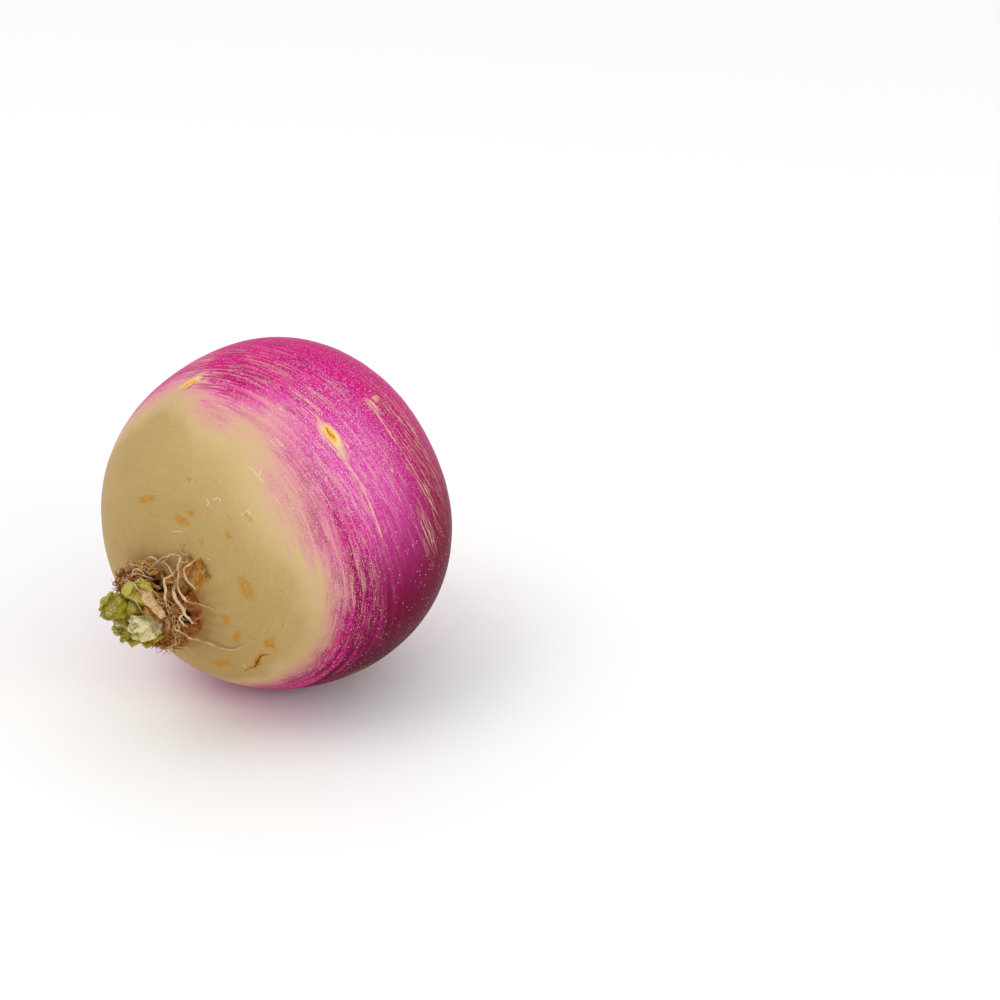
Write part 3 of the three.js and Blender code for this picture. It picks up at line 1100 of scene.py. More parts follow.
    def make(self) -> bpy.types.Material:
        """Builds the material.

        Returns:
            The material.
        """
        material, g = new_material("turnip_skin")
        skin = SkinField(g, self.lying, self.level_dip)
        dip, facing = skin.dip, skin.facing

        # Where the purple begins: an uneven ring, lower on the upper side.
        edge = self.edge_dip + skin.toward(self.edge_turn) * self.edge_sway
        for turn, sharp, lower in self.edge_bays:
            edge = edge + facing(turn, sharp) * lower
        edge = edge + skin.noise(0.06) * self.edge_wander + skin.noise(0.25) * self.edge_flutter
        softness: Value = self.edge_softness
        for turn, sharp, more in self.edge_soft_bays:
            softness = softness + facing(turn, sharp) * more
        below = (dip - edge) / softness
        long, mid, thin = self.comb
        combed = skin.long * long + skin.mid * mid + skin.thin * thin
        sown = combed + skin.stipple * self.sprinkle
        purple = g.step(below + sown, -1.4, 1.6)
        body = g.step(below + sown * 0.5, -0.4, 2.8)

        cream, soil = self.cream_layer(skin)
        veil = g.mix(g.step(below, -4.0, -1.5) * 0.6, cream, self.cream_pale)
        blushing = g.step(below + combed * 0.4 + skin.stipple * 2.0, -2.8, 0.4)
        veil = g.mix(blushing * 0.8, veil, self.blush)
        # Painted shade: the cream by the purple's edge darker on the lower side.
        veil = g.mix(facing(*self.painted_shade_cream_side) * g.step(dip, 38.0, 56.0) * 0.8, veil, self.painted_shade_cream)
        colour = g.mix(purple, veil, self.purple_layer(skin, body))
        colour = self.marks_layer(skin, colour)

        tail = g.step(dip, 160.0, 170.0) * g.step(skin.z, -39.0, -43.0)
        wrinkles = g.noise(g.join(skin.x * 0.4, skin.y * 0.4, skin.z * 2.2), 1.0, 3.0, 0.6)
        colour = g.mix(tail * g.step(wrinkles, 0.2, 0.6), colour, self.bark)

        pores = skin.noise(1.3, 3.0, 0.55)
        height = pores * 0.35 + skin.thin * 0.3 + skin.cloud * 1.6 + soil * 0.1
        normal = g.bump(height + (wrinkles - 0.5) * tail * 3.0, distance=self.relief, strength=0.55)
        rough = 0.40 + pores * 0.2 + (1.0 - purple) * 0.05
        close(g, colour, rough, {"Normal": normal, "IOR": 1.42, "Specular IOR Level": 0.04})
        return material

    def cream_layer(self, skin: SkinField) -> tuple[Wire, Wire]:
        """The cream skin with its clouds, ochre blotches, dots and the stain round the collar, paler on one
        side by painted light and darker on the lower side by painted shade.

        Args:
            skin: The place on the skin and its noises.

        Returns:
            The colour, and how soiled the skin is.
        """
        g, place, dip = skin.graph, skin.place, skin.dip
        # Painted light: the cream paler towards turn 20, below the crown.
        bright = g.step(dip, 34.0, 58.0) * skin.facing(*self.painted_light_side) * 0.75
        crown = g.mix(g.step(dip, 50.0, 24.0) * 0.35, self.cream, self.cream_deep)
        colour = g.mix(bright, crown, self.cream_pale)
        brushed = skin.streaks(24.0, 0.8, 3.0, 0.6)
        for share, over in (
            (g.step(skin.noise(0.07), -0.05, 0.25) * 0.4, self.cream_deep),
            (g.step(brushed, 0.0, 0.25) * 0.22, self.cream_deep),
            (g.step(brushed, -0.05, -0.25) * 0.22, self.cream_pale),
            (g.step(skin.grain, -0.2, 0.3) * 0.10, self.cream_deep),
            # Painted shade: the cream darker on the lower side.
            (skin.facing(*self.painted_shade_side) * 0.4, self.cream_deep),
        ):
            colour = g.mix(share, colour, over)

        frayed = g.pushed(place, g.shake(place, 0.9, 2.0, 0.6), 1.6)
        blotch = self.spots(g, frayed, self.blotches, 0.45)
        crumbly = 0.35 + 0.65 * g.step(skin.noise(1.3, 2.0, 0.6), -0.14, 0.08)
        colour = g.mix(blotch * crumbly * 0.8, colour, self.ochre)
        faint = g.step(skin.noise(0.42), 0.12, 0.24) * g.step(dip, 62.0, 40.0)
        colour = g.mix(faint * 0.28, colour, self.ochre)

        far, drawn = g.cells(place, self.flecks_per_mm)
        dot = g.step(far, 0.13, 0.07) * g.step(drawn, 0.5, 0.7)
        colour = g.mix(dot * 0.55, colour, self.dots)

        stain_edge = dip + skin.noise(0.35, 3.0, 0.6) * 9.0
        stain = g.step(stain_edge, 24.5, 17.5)
        colour = g.mix(stain * 0.2, colour, self.bark)
        colour = g.mix(g.step(stain_edge, 19.0, 16.0) * 0.3, colour, self.stain)
        return colour, stain

    def purple_layer(self, skin: SkinField, body: Wire) -> Wire:
        """The magenta with its pale dashes, grains and dots, its crimson and faded sides, and a painted
        highlight; the crimson and deep red on the lower side are partly painted shade.

        Args:
            skin: The place on the skin and its noises.
            body: How full the purple is past its fringe.

        Returns:
            The colour.
        """
        g, place, cloud = skin.graph, skin.place, skin.cloud
        dip, facing = skin.dip, skin.facing
        # Painted shade: the rose fringe darker on the lower side.
        fringe = g.mix(facing(*self.painted_shade_rose_side) * 0.9, self.rose, self.painted_shade_rose)
        colour = g.mix(body, fringe, self.magenta)
        deep = g.step(skin.long + cloud * 0.9 + skin.mid * 0.4, -0.06, 0.16)
        colour = g.mix(deep * 0.6, colour, self.magenta_deep)
        # Crimson and deep red on the lower side: partly the skin's own deeper colour, partly painted shade.
        lower = dip + skin.long * 34.0 + skin.mid * 24.0
        crimson = facing(*self.crimson_and_shade_side) * g.step(lower, 56.0, 82.0)
        colour = g.mix(crimson * 0.95, colour, self.crimson)
        maroon_and_shade = facing(*self.maroon_and_shade_side) * g.step(lower, 50.0, 66.0)
        colour = g.mix(maroon_and_shade * 0.9, colour, self.maroon_and_shade)
        far = facing(*self.far_side) * g.step(lower + cloud * 40.0, 52.0, 84.0)
        colour = g.mix(far * 0.62, colour, self.crimson)
        # Where the shade is painted, the pale marks below are dimmed to match.
        darkened = g.math("MAXIMUM", crimson, maroon_and_shade)
        shaded = g.math("SUBTRACT", 1.0, darkened * 1.2, clamp=True)
        dimmed = g.math("SUBTRACT", 1.0, darkened * 1.02, clamp=True)
        # Painted highlight: a broad rose highlight painted on the side towards turn 38.
        painted_sheen = facing(*self.painted_sheen_side) * g.step(dip, 64.0, 76.0) * g.step(dip, 110.0, 86.0)
        colour = g.mix(painted_sheen * 0.8, colour, self.rose)

        # Ash streaks: soft pale bands along the rings, stippled at their edges.
        ashen = skin.long + skin.mid * 1.1 + skin.stipple * 0.5
        colour = g.mix(g.step(ashen, 0.06, 0.22) * (1.0 - body) * shaded * 0.7, colour, self.ash)

        # Pale straws: broken strands along the rings, thickest on the side that faces up.
        strand = skin.thin + skin.mid * 1.3 + skin.stipple * 0.5
        band = g.step(skin.noise(0.085), -0.02, 0.12) * g.step(dip, 98.0, 82.0)
        crest = facing(*self.crest_side)
        belt = g.math("MAXIMUM", facing(*self.belt_side), crest * 0.6)
        belt = belt * g.step(dip, 60.0, 66.0) * g.step(dip, 104.0, 90.0)
        sown = 0.1 + g.math("MAXIMUM", band, belt) * 0.9
        straws = g.step(strand + belt * 0.075, 0.09, 0.20) * sown * dimmed
        colour = g.mix(straws * 0.8, colour, self.straw)
        sheaf = g.step(skin.mid + skin.long * 1.1 + skin.thin * 0.9, 0.16, 0.28)
        colour = g.mix(sheaf * (0.05 + 0.6 * band) * shaded, colour, self.straw)

        # Fine pale grains, denser where the purple is thin and where the highlight is painted, and scattered
        # white dots.
        patchy = g.step(cloud + skin.long * 0.6, -0.10, 0.12)
        near, drawn = g.cells(place, self.grains_per_mm)
        chosen = g.step(drawn + painted_sheen * 0.42 + patchy * 0.12, 0.60, 1.05)
        speckled = g.step(near, 0.62, 0.34) * chosen * dimmed
        colour = g.mix(speckled * (0.62 - far * 0.45 - crest * 0.4), colour, self.grain)
        colour = g.mix(g.step(skin.stipple, -0.02, -0.14) * 0.4, colour, self.magenta_deep)
        near, drawn = g.cells(place, self.dots_per_mm)
        dot = g.step(near, 0.20, 0.11) * g.step(drawn, 0.5, 0.8)
        colour = g.mix(dot * 0.85, colour, self.grain)

        fading = dip + skin.long * 26.0 + skin.mid * 14.0 + cloud * 24.0
        colour = g.mix(g.step(fading, 114.0, 150.0) * 0.6, colour, self.rose)
        return g.mix(g.step(fading, 132.0, 172.0) * 0.9, colour, self.cream_pale)

    def marks_layer(self, skin: SkinField, colour: Wire) -> Wire:
        """The lenticels, pale flecks and scars.

        Args:
            skin: The place on the skin and its noises.
            colour: The skin under the marks.

        Returns:
            The colour.
        """
        g, place = skin.graph, skin.place
        shake = g.shake(place, 1.1, 3.0, 0.65)
        frayed, steady = g.pushed(place, shake, 2.0), g.pushed(place, shake, 0.8)
        combed = g.step(skin.thin * 0.45 + skin.mid * 0.55, 0.0, 0.10) * 0.7
        torn = g.step(skin.thin, -0.16, 0.04) * 0.85
        crumbly = g.step(skin.noise(1.6, 2.0, 0.6), -0.14, 0.06) * 0.8
        for where, marks, soft, share, over in (
            (frayed, self.sheaves, 0.7, combed, self.straw_pale),
            (frayed, self.tails, 0.6, torn, self.straw_pale),
            (frayed, self.eyes, 0.4, 0.9, self.lenticel_rim),
            (steady, self.cores, 0.35, 0.9, self.lenticel),
            (steady, self.slits, 0.4, 0.9, self.slit),
            (steady, self.cracks, 0.4, 0.6, self.crack),
            (frayed, self.bruises, 0.4, crumbly, self.ochre),
        ):
            colour = g.mix(self.spots(g, where, marks, soft) * share, colour, over)
        crease = self.spots(g, steady, self.creases, 0.4)
        scar = self.away(g, steady, self.scars)
        colour = g.mix(g.math("MAXIMUM", crease, g.step(scar, 2.9, 1.5) * 0.7), colour, self.ochre)
        return g.mix(g.step(scar, 1.4, 0.6) * 0.9, colour, self.scar)


def upright_place(g: Graph, lying: Lying = LYING) -> Wire:
    """The shaded place in the root's own frame, in millimetres.

    Args:
        g: The graph.
        lying: How the root lies.

    Returns:
        The place.
    """
    return g.wire("ShaderNodeMapping", {
        "Vector": g.wire("ShaderNodeTexCoord", output="Object"), "Location": lying.centre,
        "Rotation": lying.turn, "Scale": (MM, MM, MM),
    }, vector_type="TEXTURE")


def off_axis(g: Graph, x: Wire, y: Wire) -> Wire:
    """Distance from the root's axis, kept off zero so that it can divide."""
    return g.math("SQRT", x * x + y * y) + TINY


def painted(g: Graph, name: str) -> Wire:
    """A value that the mesh carries at its corners."""
    return g.wire("ShaderNodeAttribute", output="Fac", attribute_name=name)


@dataclass(frozen=True)
class CorkFinish:
    """Ragged corky remains of old leaf bases, darker in their hollows and creases by painted shade."""

    painted_shade_brown: Colour = srgb(70, 23, 4)
    brown: Colour = srgb(134, 66, 20)
    orange: Colour = srgb(168, 96, 24)
    tan: Colour = srgb(182, 124, 64)
    pale: Colour = srgb(214, 172, 120)
    amber: Colour = srgb(180, 124, 46)
    cream: Colour = srgb(190, 158, 100)

    def make(self) -> bpy.types.Material:
        """Builds the material.

        Returns:
            The material.
        """
        material, g = new_material("leaf_base_cork")
        place = upright_place(g)
        x, y, z = g.split(place)
        out = off_axis(g, x, y)
        combed = g.noise(g.join(x / out * 14.0, y / out * 14.0, out * 0.35 + z * 0.2), 1.0, 3.0, 0.65)
        patch = g.noise(place, 0.32, 3.0, 0.6, 0.6)
        crumb = g.noise(place, 2.6, 2.0, 0.7)
        hollow = painted(g, "hollow")
        shade = painted(g, "shade")
        skin = painted(g, "skin") + (g.noise(place, 0.7, 3.0, 0.6) - 0.5) * 0.9 + (combed - 0.5) * 0.5
        colour = g.mix(g.step(patch, 0.38, 0.6), self.brown, self.tan)
        colour = g.mix(g.step(g.noise(place, 0.5, 2.0, 0.5), 0.48, 0.62) * 0.75, colour, self.orange)
        colour = g.mix(g.step(combed + (shade - 0.5) * 0.25, 0.5, 0.68) * 0.75, colour, self.pale)
        colour = g.mix(g.step(combed + (crumb - 0.5) * 0.3, 0.46, 0.3) * 0.8, colour, self.brown)
        # Browner where the shade paint is low: painted shade deep in the collar's creases, a random tone on
        # the strewn strips.
        colour = g.mix(g.step(shade, 0.35, 0.0) * 0.7, colour, self.brown)
        # Painted shade: near-black brown in the collar's hollows and creases.
        colour = g.mix(g.step(hollow + (crumb - 0.5) * 0.3, 0.25, 0.75), colour, self.painted_shade_brown)
        colour = g.mix(g.step(skin, 0.35, 0.5) * 0.8, colour, self.amber)
        colour = g.mix(g.step(skin, 0.5, 0.75) * 0.9, colour, self.cream)
        height = combed * 1.2 + crumb + patch + g.noise(place, 1.1, 2.0, 0.6) * 1.4
        normal = g.bump(height, distance=0.0009, strength=0.8)
        close(g, colour, 0.85, {"Normal": normal, "Specular IOR Level": 0.12})
        return material


@dataclass(frozen=True)
class StalkFinish:
    """A cut green stalk: veined skin outside, and a paler crumbly cut."""

    name: str
    skin: Colour
    skin_dark: Colour
    cut: Colour
    cut_pale: Colour
    brown: Colour = srgb(126, 84, 24)
    crumb: Colour = srgb(224, 216, 172)
    grain: float = 1.0

    def make(self) -> bpy.types.Material:
        """Builds the material.

        Returns:
            The material.
        """
        material, g = new_material(self.name)
        place = upright_place(g)
        x, y, z = g.split(place)
        cut = painted(g, "cut")
        tone = painted(g, "tone")
        veins = g.noise(g.join(x * 1.9, y * 1.9, z * 0.22), 1.0, 3.0, 0.6)
        cloud = g.noise(place, 0.5, 2.0, 0.5)
        crumbs = g.noise(place, 2.4, 3.0, 0.75)
        pith = g.cells(place, 2.2)[0]
        side = g.mix(g.step(veins, 0.4, 0.62), self.skin, self.skin_dark)
        side = g.mix(g.step(cloud + (tone - 0.5) * 0.8, 0.45, 0.75), side, self.cut_pale)
        side = g.mix(g.step(cloud + (veins - 0.5) * 0.6, 0.40, 0.28) * 0.35, side, self.brown)
        face = g.mix(g.step(crumbs + (cloud - 0.5) * 0.5, 0.42, 0.62), self.cut, self.cut_pale)
        face = g.mix(g.step(cloud + (tone - 0.5) * 0.8, 0.45, 0.75) * 0.7, face, self.cut_pale)
        face = g.mix(g.step(pith, 0.5, 0.8) * 0.4 * self.grain, face, self.skin_dark)
        face = g.mix(g.step(crumbs, 0.58, 0.7) * 0.6 * self.grain, face, self.crumb)
        colour = g.mix(cut, side, face)
        height = veins * 0.6 + (crumbs * 1.4 + pith) * (cut * self.grain + 0.2)
        close(g, colour, 0.5 - cut * 0.1, {
            "Normal": g.bump(height, distance=0.0004, strength=0.6), "Specular IOR Level": 0.25,
            "Subsurface Weight": 0.12, "Subsurface Scale": MM, "Subsurface Radius": (1.0, 0.9, 0.6),
        })
        return material


@dataclass(frozen=True)
class PaperFinish:
    """Dry papery leaf base: amber or pinkish, with fine ribs and a darker torn edge."""

    amber: Colour = srgb(174, 114, 36)
    amber_pale: Colour = srgb(192, 144, 74)
    straw: Colour = srgb(188, 142, 72)
    pink: Colour = srgb(210, 168, 120)
    pink_pale: Colour = srgb(222, 188, 144)
    edge: Colour = srgb(134, 74, 22)

    def make(self) -> bpy.types.Material:
        """Builds the material.

        Returns:
            The material.
        """
        material, g = new_material("dry_papery_scale")
        place = upright_place(g)
        x, y, z = g.split(place)
        tone = painted(g, "tone")
        ribs = g.noise(g.join(x * 0.5 + y * 1.4, y * 0.5 - x * 1.4, z * 0.3), 1.0, 3.0, 0.6)
        cloud = g.noise(place, 0.6, 3.0, 0.6)
        fibres = g.noise(place, 2.2, 3.0, 0.7, 0.8)
        amber = g.mix(g.step(cloud, 0.4, 0.62), self.amber, self.amber_pale)
        pink = g.mix(g.step(cloud, 0.4, 0.62), self.pink, self.pink_pale)
        colour = g.mix(g.step(tone, 0.15, 0.5), amber, self.straw)
        colour = g.mix(g.step(tone, 0.6, 0.95), colour, pink)
        colour = g.mix(g.step(ribs, 0.54, 0.7) * 0.35, colour, self.edge)
        colour = g.mix(g.step(fibres, 0.56, 0.7) * 0.45, colour, self.pink_pale)
        rim = painted(g, "rim") + (fibres - 0.5) * 0.4
        colour = g.mix(g.step(rim, 0.7, 1.0) * 0.5, colour, self.edge)
        close(g, colour, 0.7, {
            "Normal": g.bump(ribs + fibres * 0.7, distance=0.0003, strength=0.7), "Specular IOR Level": 0.15,
            "Subsurface Weight": 0.2, "Subsurface Scale": MM,
        })
        return material


@dataclass(frozen=True)
class FibreFinish:
    """Pale dry root fibre, browned in places."""

    pale: Colour = srgb(212, 186, 152)
    mid: Colour = srgb(182, 144, 104)
    brown: Colour = srgb(134, 84, 40)
    browning: float = 0.15

    def make(self) -> bpy.types.Material:
        """Builds the material.

        Returns:
            The material.
        """
        material, g = new_material("root_fibre")
        place = upright_place(g)
        cloud = g.noise(place, 0.45, 2.0, 0.5)
        fine = g.noise(place, 3.0, 2.0, 0.6)
        shade = painted(g, "shade")
        colour = g.mix(g.step(cloud + (fine - 0.5) * 0.3, 0.36, 0.6), self.mid, self.pale)
        colour = g.mix(g.step(shade, 0.45, 1.0) * 0.8, colour, self.brown)
        colour = g.mix(g.step(fine, 0.6, 0.75) * self.browning, colour, self.brown)
        close(g, colour, 0.7, {
            "Normal": g.bump(fine, distance=0.0003, strength=0.5), "Specular IOR Level": 0.2,
            "Subsurface Weight": 0.1, "Subsurface Scale": MM,
        })
        return material


@dataclass(frozen=True)
class FloorFinish:
    """A plain pale floor."""

    colour: Colour = srgb(247, 247, 247)

    def make(self) -> bpy.types.Material:
        """Builds the material.

        Returns:
            The material.
        """
        material, g = new_material("floor_white")
        close(g, self.colour, 0.7, {})
        return material


# ---- Sub-assemblies


@dataclass
class RootBody:
    """The globe, its neck and its taproot, as one closed skin."""

    rows: int = 290
    sectors: int = 320
    globe: Globe = GLOBE
    lying: Lying = LYING
    dent: float = 0.22
    ripple: float = 0.05
    groove: float = 0.16  # the grooves that run down from the collar
    groove_count: int = 23
    groove_distance: float = 16.0
    groove_reach: float = 5.0
    eye_rim: float = 0.10
    eye_pit: float = 0.32
    scar_depth: float = 0.16
    floor_rounding: float = 0.12
    finish: SkinFinish = field(default_factory=SkinFinish)

    def relief(self, points: np.ndarray) -> np.ndarray:
        """How far the skin stands out of the plain globe.

        Args:
            points: Points of the plain globe.

        Returns:
            Millimetres outwards, for each point.
        """
        dents = waves(points, length=38.0, count=7, seed=3)
        ripples = waves(points, length=7.0, count=12, seed=4)
        rise = -self.dent * (0.5 + 0.5 * dents).clip(0, 1)
        rise -= self.ripple * (0.5 + 0.5 * ripples).clip(0, 1)
        out = np.linalg.norm(points[:, :2], axis=1)
        turn = np.arctan2(points[:, 1], points[:, 0])
        crown = np.exp(-(((out - self.groove_distance) / self.groove_reach) ** 2)) * (points[:, 2] > 0)
        rise -= self.groove * crown * (1 + np.cos(self.groove_count * turn + 2.5 * np.sin(3 * turn)))
        for eye in self.finish.eyes:
            local = self.globe.local(eye, points)
            far = np.linalg.norm(local, axis=1)
            rise += self.eye_rim * np.exp(-(((far - 0.95) / 0.3) ** 2))
            pit = (local[:, 0] / 0.6) ** 2 + (local[:, 1] / 0.3) ** 2 + local[:, 2] ** 2
            rise -= self.eye_pit * np.exp(-pit)
        for scar in self.finish.scars:
            far = np.linalg.norm(self.globe.local(scar, points), axis=1)
            rise -= self.scar_depth * np.exp(-(far ** 2))
        return rise

    def build(self) -> bpy.types.Object:
        """Makes the skin.

        Returns:
            The finished piece.
        """
        line = self.globe.outline(self.rows + 2)
        turns = full_turn(self.sectors)
        out, up = line[1:-1, :1], line[1:-1, 1:]
        rings = np.stack([out * np.cos(turns), out * np.sin(turns), np.repeat(up, self.sectors, 1)], -1)
        skin = Shell(rings, np.array([0, 0, line[0, 1]]), np.array([0, 0, line[-1, 1]]))
        points = self.globe.swell(skin.points)
        reach = np.linalg.norm(points, axis=1, keepdims=True)
        points += points / reach * self.relief(points)[:, None]
        laid = self.lying.down(points)
        soft = self.floor_rounding * MM
        low = laid[:, 2]
        laid[:, 2] = 0.5 * (low + np.sqrt(low ** 2 + soft ** 2))
        laid[:, 2] -= laid[:, 2].min()
        piece = make_piece("turnip_root", laid, skin.faces(), self.finish.make(), self.net())
        claim(piece, Slot.SKIN, "root")
        return piece

    def net(self) -> np.ndarray:
        """The skin laid out on the flat: its turns across, its rows up.

        Returns:
            A place for each corner of each face, in the order that Shell.faces() has them.
        """
        turns = np.arange(self.sectors) / self.sectors
        ends = turns + 1 / self.sectors
        peaks = turns + 0.5 / self.sectors
        up = np.arange(1, self.rows + 1) / (self.rows + 1)
        flat: list[tuple[float, float]] = []
        for low, high in zip(up, up[1:]):
            for start, end in zip(turns, ends):
                flat += [(start, low), (end, low), (end, high), (start, high)]
        for start, end, peak in zip(turns, ends, peaks):
            flat += [(end, up[0]), (start, up[0]), (peak, 0.0)]
        for start, end, peak in zip(turns, ends, peaks):
            flat += [(start, up[-1]), (end, up[-1]), (peak, 1.0)]
        return np.array(flat)


@dataclass(frozen=True)
class Hollow:
    """A hollow in the cork, by its turn, distance and height, its radius and its depth."""

    turn: float
    distance: float
    height: float
    radius: float
    depth: float


@dataclass
class CorkCollar:
    """The corky collar and the torn top of the neck, as one lumpy body."""

    sides: int = 330
    wall_rows: int = 64
    top_rows: int = 30
    under_rows: int = 6
    shaggy_side: float = math.radians(122)
    skin_side: float = math.radians(118)
    skin_top: float = 48.4
    crest: float = 0.9  # the torn top, above the neck
    flare: float = 0.4
    sunk: float = 1.6  # the middle of the underside, below the skin
    skirt: float = 0.5  # the foot, below the skin
    lump: float = 0.32
    crease: float = 0.42
    knob: float = 0.4
    grit: float = 0.16
    sown_above: float = 46.4
    sown_beyond: float = 6.5
    hollows: tuple[Hollow, ...] = (
        Hollow(75, 11.4, 48.6, 2.0, 2.2), Hollow(68, 10.8, 49.2, 1.4, 1.6), Hollow(10, 9.6, 47.7, 1.7, 2.2),
        Hollow(110, 12.8, 47.8, 1.4, 1.2), Hollow(94, 12.9, 46.2, 1.3, 1.3), Hollow(40, 8.0, 49.6, 1.1, 0.9),
        Hollow(250, 6.8, 48.2, 1.5, 1.5), Hollow(128, 10.5, 50.6, 1.5, 1.4), Hollow(-50, 9.5, 47.0, 1.2, 1.0),
        Hollow(200, 11.0, 48.6, 1.6, 1.8), Hollow(225, 9.6, 48.6, 1.5, 1.6),
        Hollow(172, 12.2, 48.0, 1.5, 1.5),
    )

    def body(self) -> Shell:
        """Makes the collar's shape.

        Returns:
            A closed body, painted with shade in its hollows and creases.
        """
        turns = full_turn(self.sides)
        middle, wide, tall = CROWN.section(turns)
        shut = math.pi - np.arcsin(np.minimum((GLOBE.neck_top + 0.5 - CROWN.middle) / tall, 0.97))
        part = np.linspace(0, 1, self.wall_rows)[:, None]
        swing = part * shut
        reach, rise = middle + wide * np.cos(swing), CROWN.middle + tall * np.sin(swing)
        inward = np.linspace(1, 0, self.top_rows + 1)[1:-1, None]
        top_reach = reach[-1] * inward
        top_rise = rise[-1] * inward + (GLOBE.neck_top + self.crest) * (1 - inward)
        foot = reach[:1] + self.flare
        under = np.linspace(0, 1, self.under_rows + 1)[1:, None]
        low_reach = foot * under
        low_rise = GLOBE.height(low_reach) - self.sunk
        skirt_rise = GLOBE.height(foot) - self.skirt
        far = np.concatenate([low_reach, foot, reach, top_reach])
        up = np.concatenate([low_rise, skirt_rise, rise, top_rise])
        rings = np.stack([far * np.cos(turns), far * np.sin(turns), up], -1)
        body = Shell(rings, np.array([0, 0, up[0, 0]]), np.array([0, 0, GLOBE.neck_top + self.crest]))
        self.carve(body)
        return body

    def carve(self, body: Shell) -> None:
        """Gives the body its lumps, its combed ridges and its hollows, and paints it, with painted shade in
        the hollows and creases.

        Args:
            body: The smooth collar.
        """
        fixed = self.under_rows
        loose = np.ones(body.rings.shape[:2])
        loose[:fixed] = 0
        loose[fixed:fixed + 4] = np.linspace(0, 1, 4)[:, None]
        body.swell(loose * self.lump * body.hills(length=5.5, count=9, seed=21))
        flat, up = body.rings[..., :2], body.rings[..., 2:]
        out = np.linalg.norm(flat, axis=-1, keepdims=True)
        combed = np.concatenate([flat / out * 11.0, out * 0.3 + up * 0.25], -1).reshape(-1, 3)
        ridges = waves(combed, length=2.3, count=22, seed=31)
        ridges += 0.5 * waves(combed, length=1.1, count=22, seed=32)
        creased = 0.55 - np.abs(ridges.reshape(out.shape[:2]))
        lumps = 0.6 - np.abs(body.hills(length=3.0, count=16, seed=33))
        depth = np.zeros(out.shape[:2])
        for spot in self.hollows:
            far = np.linalg.norm(body.rings - polar(spot.turn, spot.distance, spot.height), axis=-1)
            depth += spot.depth * np.exp(-((far / spot.radius) ** 2))
        gritty = self.grit * body.hills(length=0.9, count=36, seed=34)
        body.swell(loose * (self.crease * creased + self.knob * lumps + gritty - depth))
        creases, gaps = np.clip(-creased - 0.2, 0, 1), np.clip(-lumps - 0.2, 0, 1)
        # Painted shade: near black in the hollows, and less in the creases and gaps.
        painted_shade = np.clip(depth / 1.4, 0, 1) + 0.5 * creases + 0.4 * gaps
        turn = np.arctan2(body.rings[..., 1], body.rings[..., 0])
        up = body.rings[..., 2]
        shaggy = 0.4 + 0.6 * np.clip(0.1 + np.cos(turn - self.shaggy_side), 0, 1)
        above = np.clip((up - self.sown_above) / 1.5, 0, 1)
        open_ground = np.clip(1 - 2 * depth, 0, 1) * loose * (out[..., 0] > self.sown_beyond)
        walled = np.clip(np.cos(turn - self.skin_side) * 1.6, 0, 1)
        body.paint["hollow"] = np.clip(painted_shade, 0, 1)
        # Painted shade and light: the shade paint is low deep in the creases and high on the ridges, for
        # browner or paler cork.
        body.paint["shade"] = np.clip(0.5 + 0.4 * creased, 0, 1)
        body.paint["sow"] = open_ground * shaggy * above
        body.paint["skin"] = np.clip((self.skin_top - up) / 2.5, 0, 1) * walled

    def build(self) -> bpy.types.Object:
        """Makes the collar.

        Returns:
            The finished piece.
        """
        piece = build_shells("corky_collar", [self.body()], CorkFinish().make())
        claim(piece, Slot.CORK, "crown_collar")
        return piece


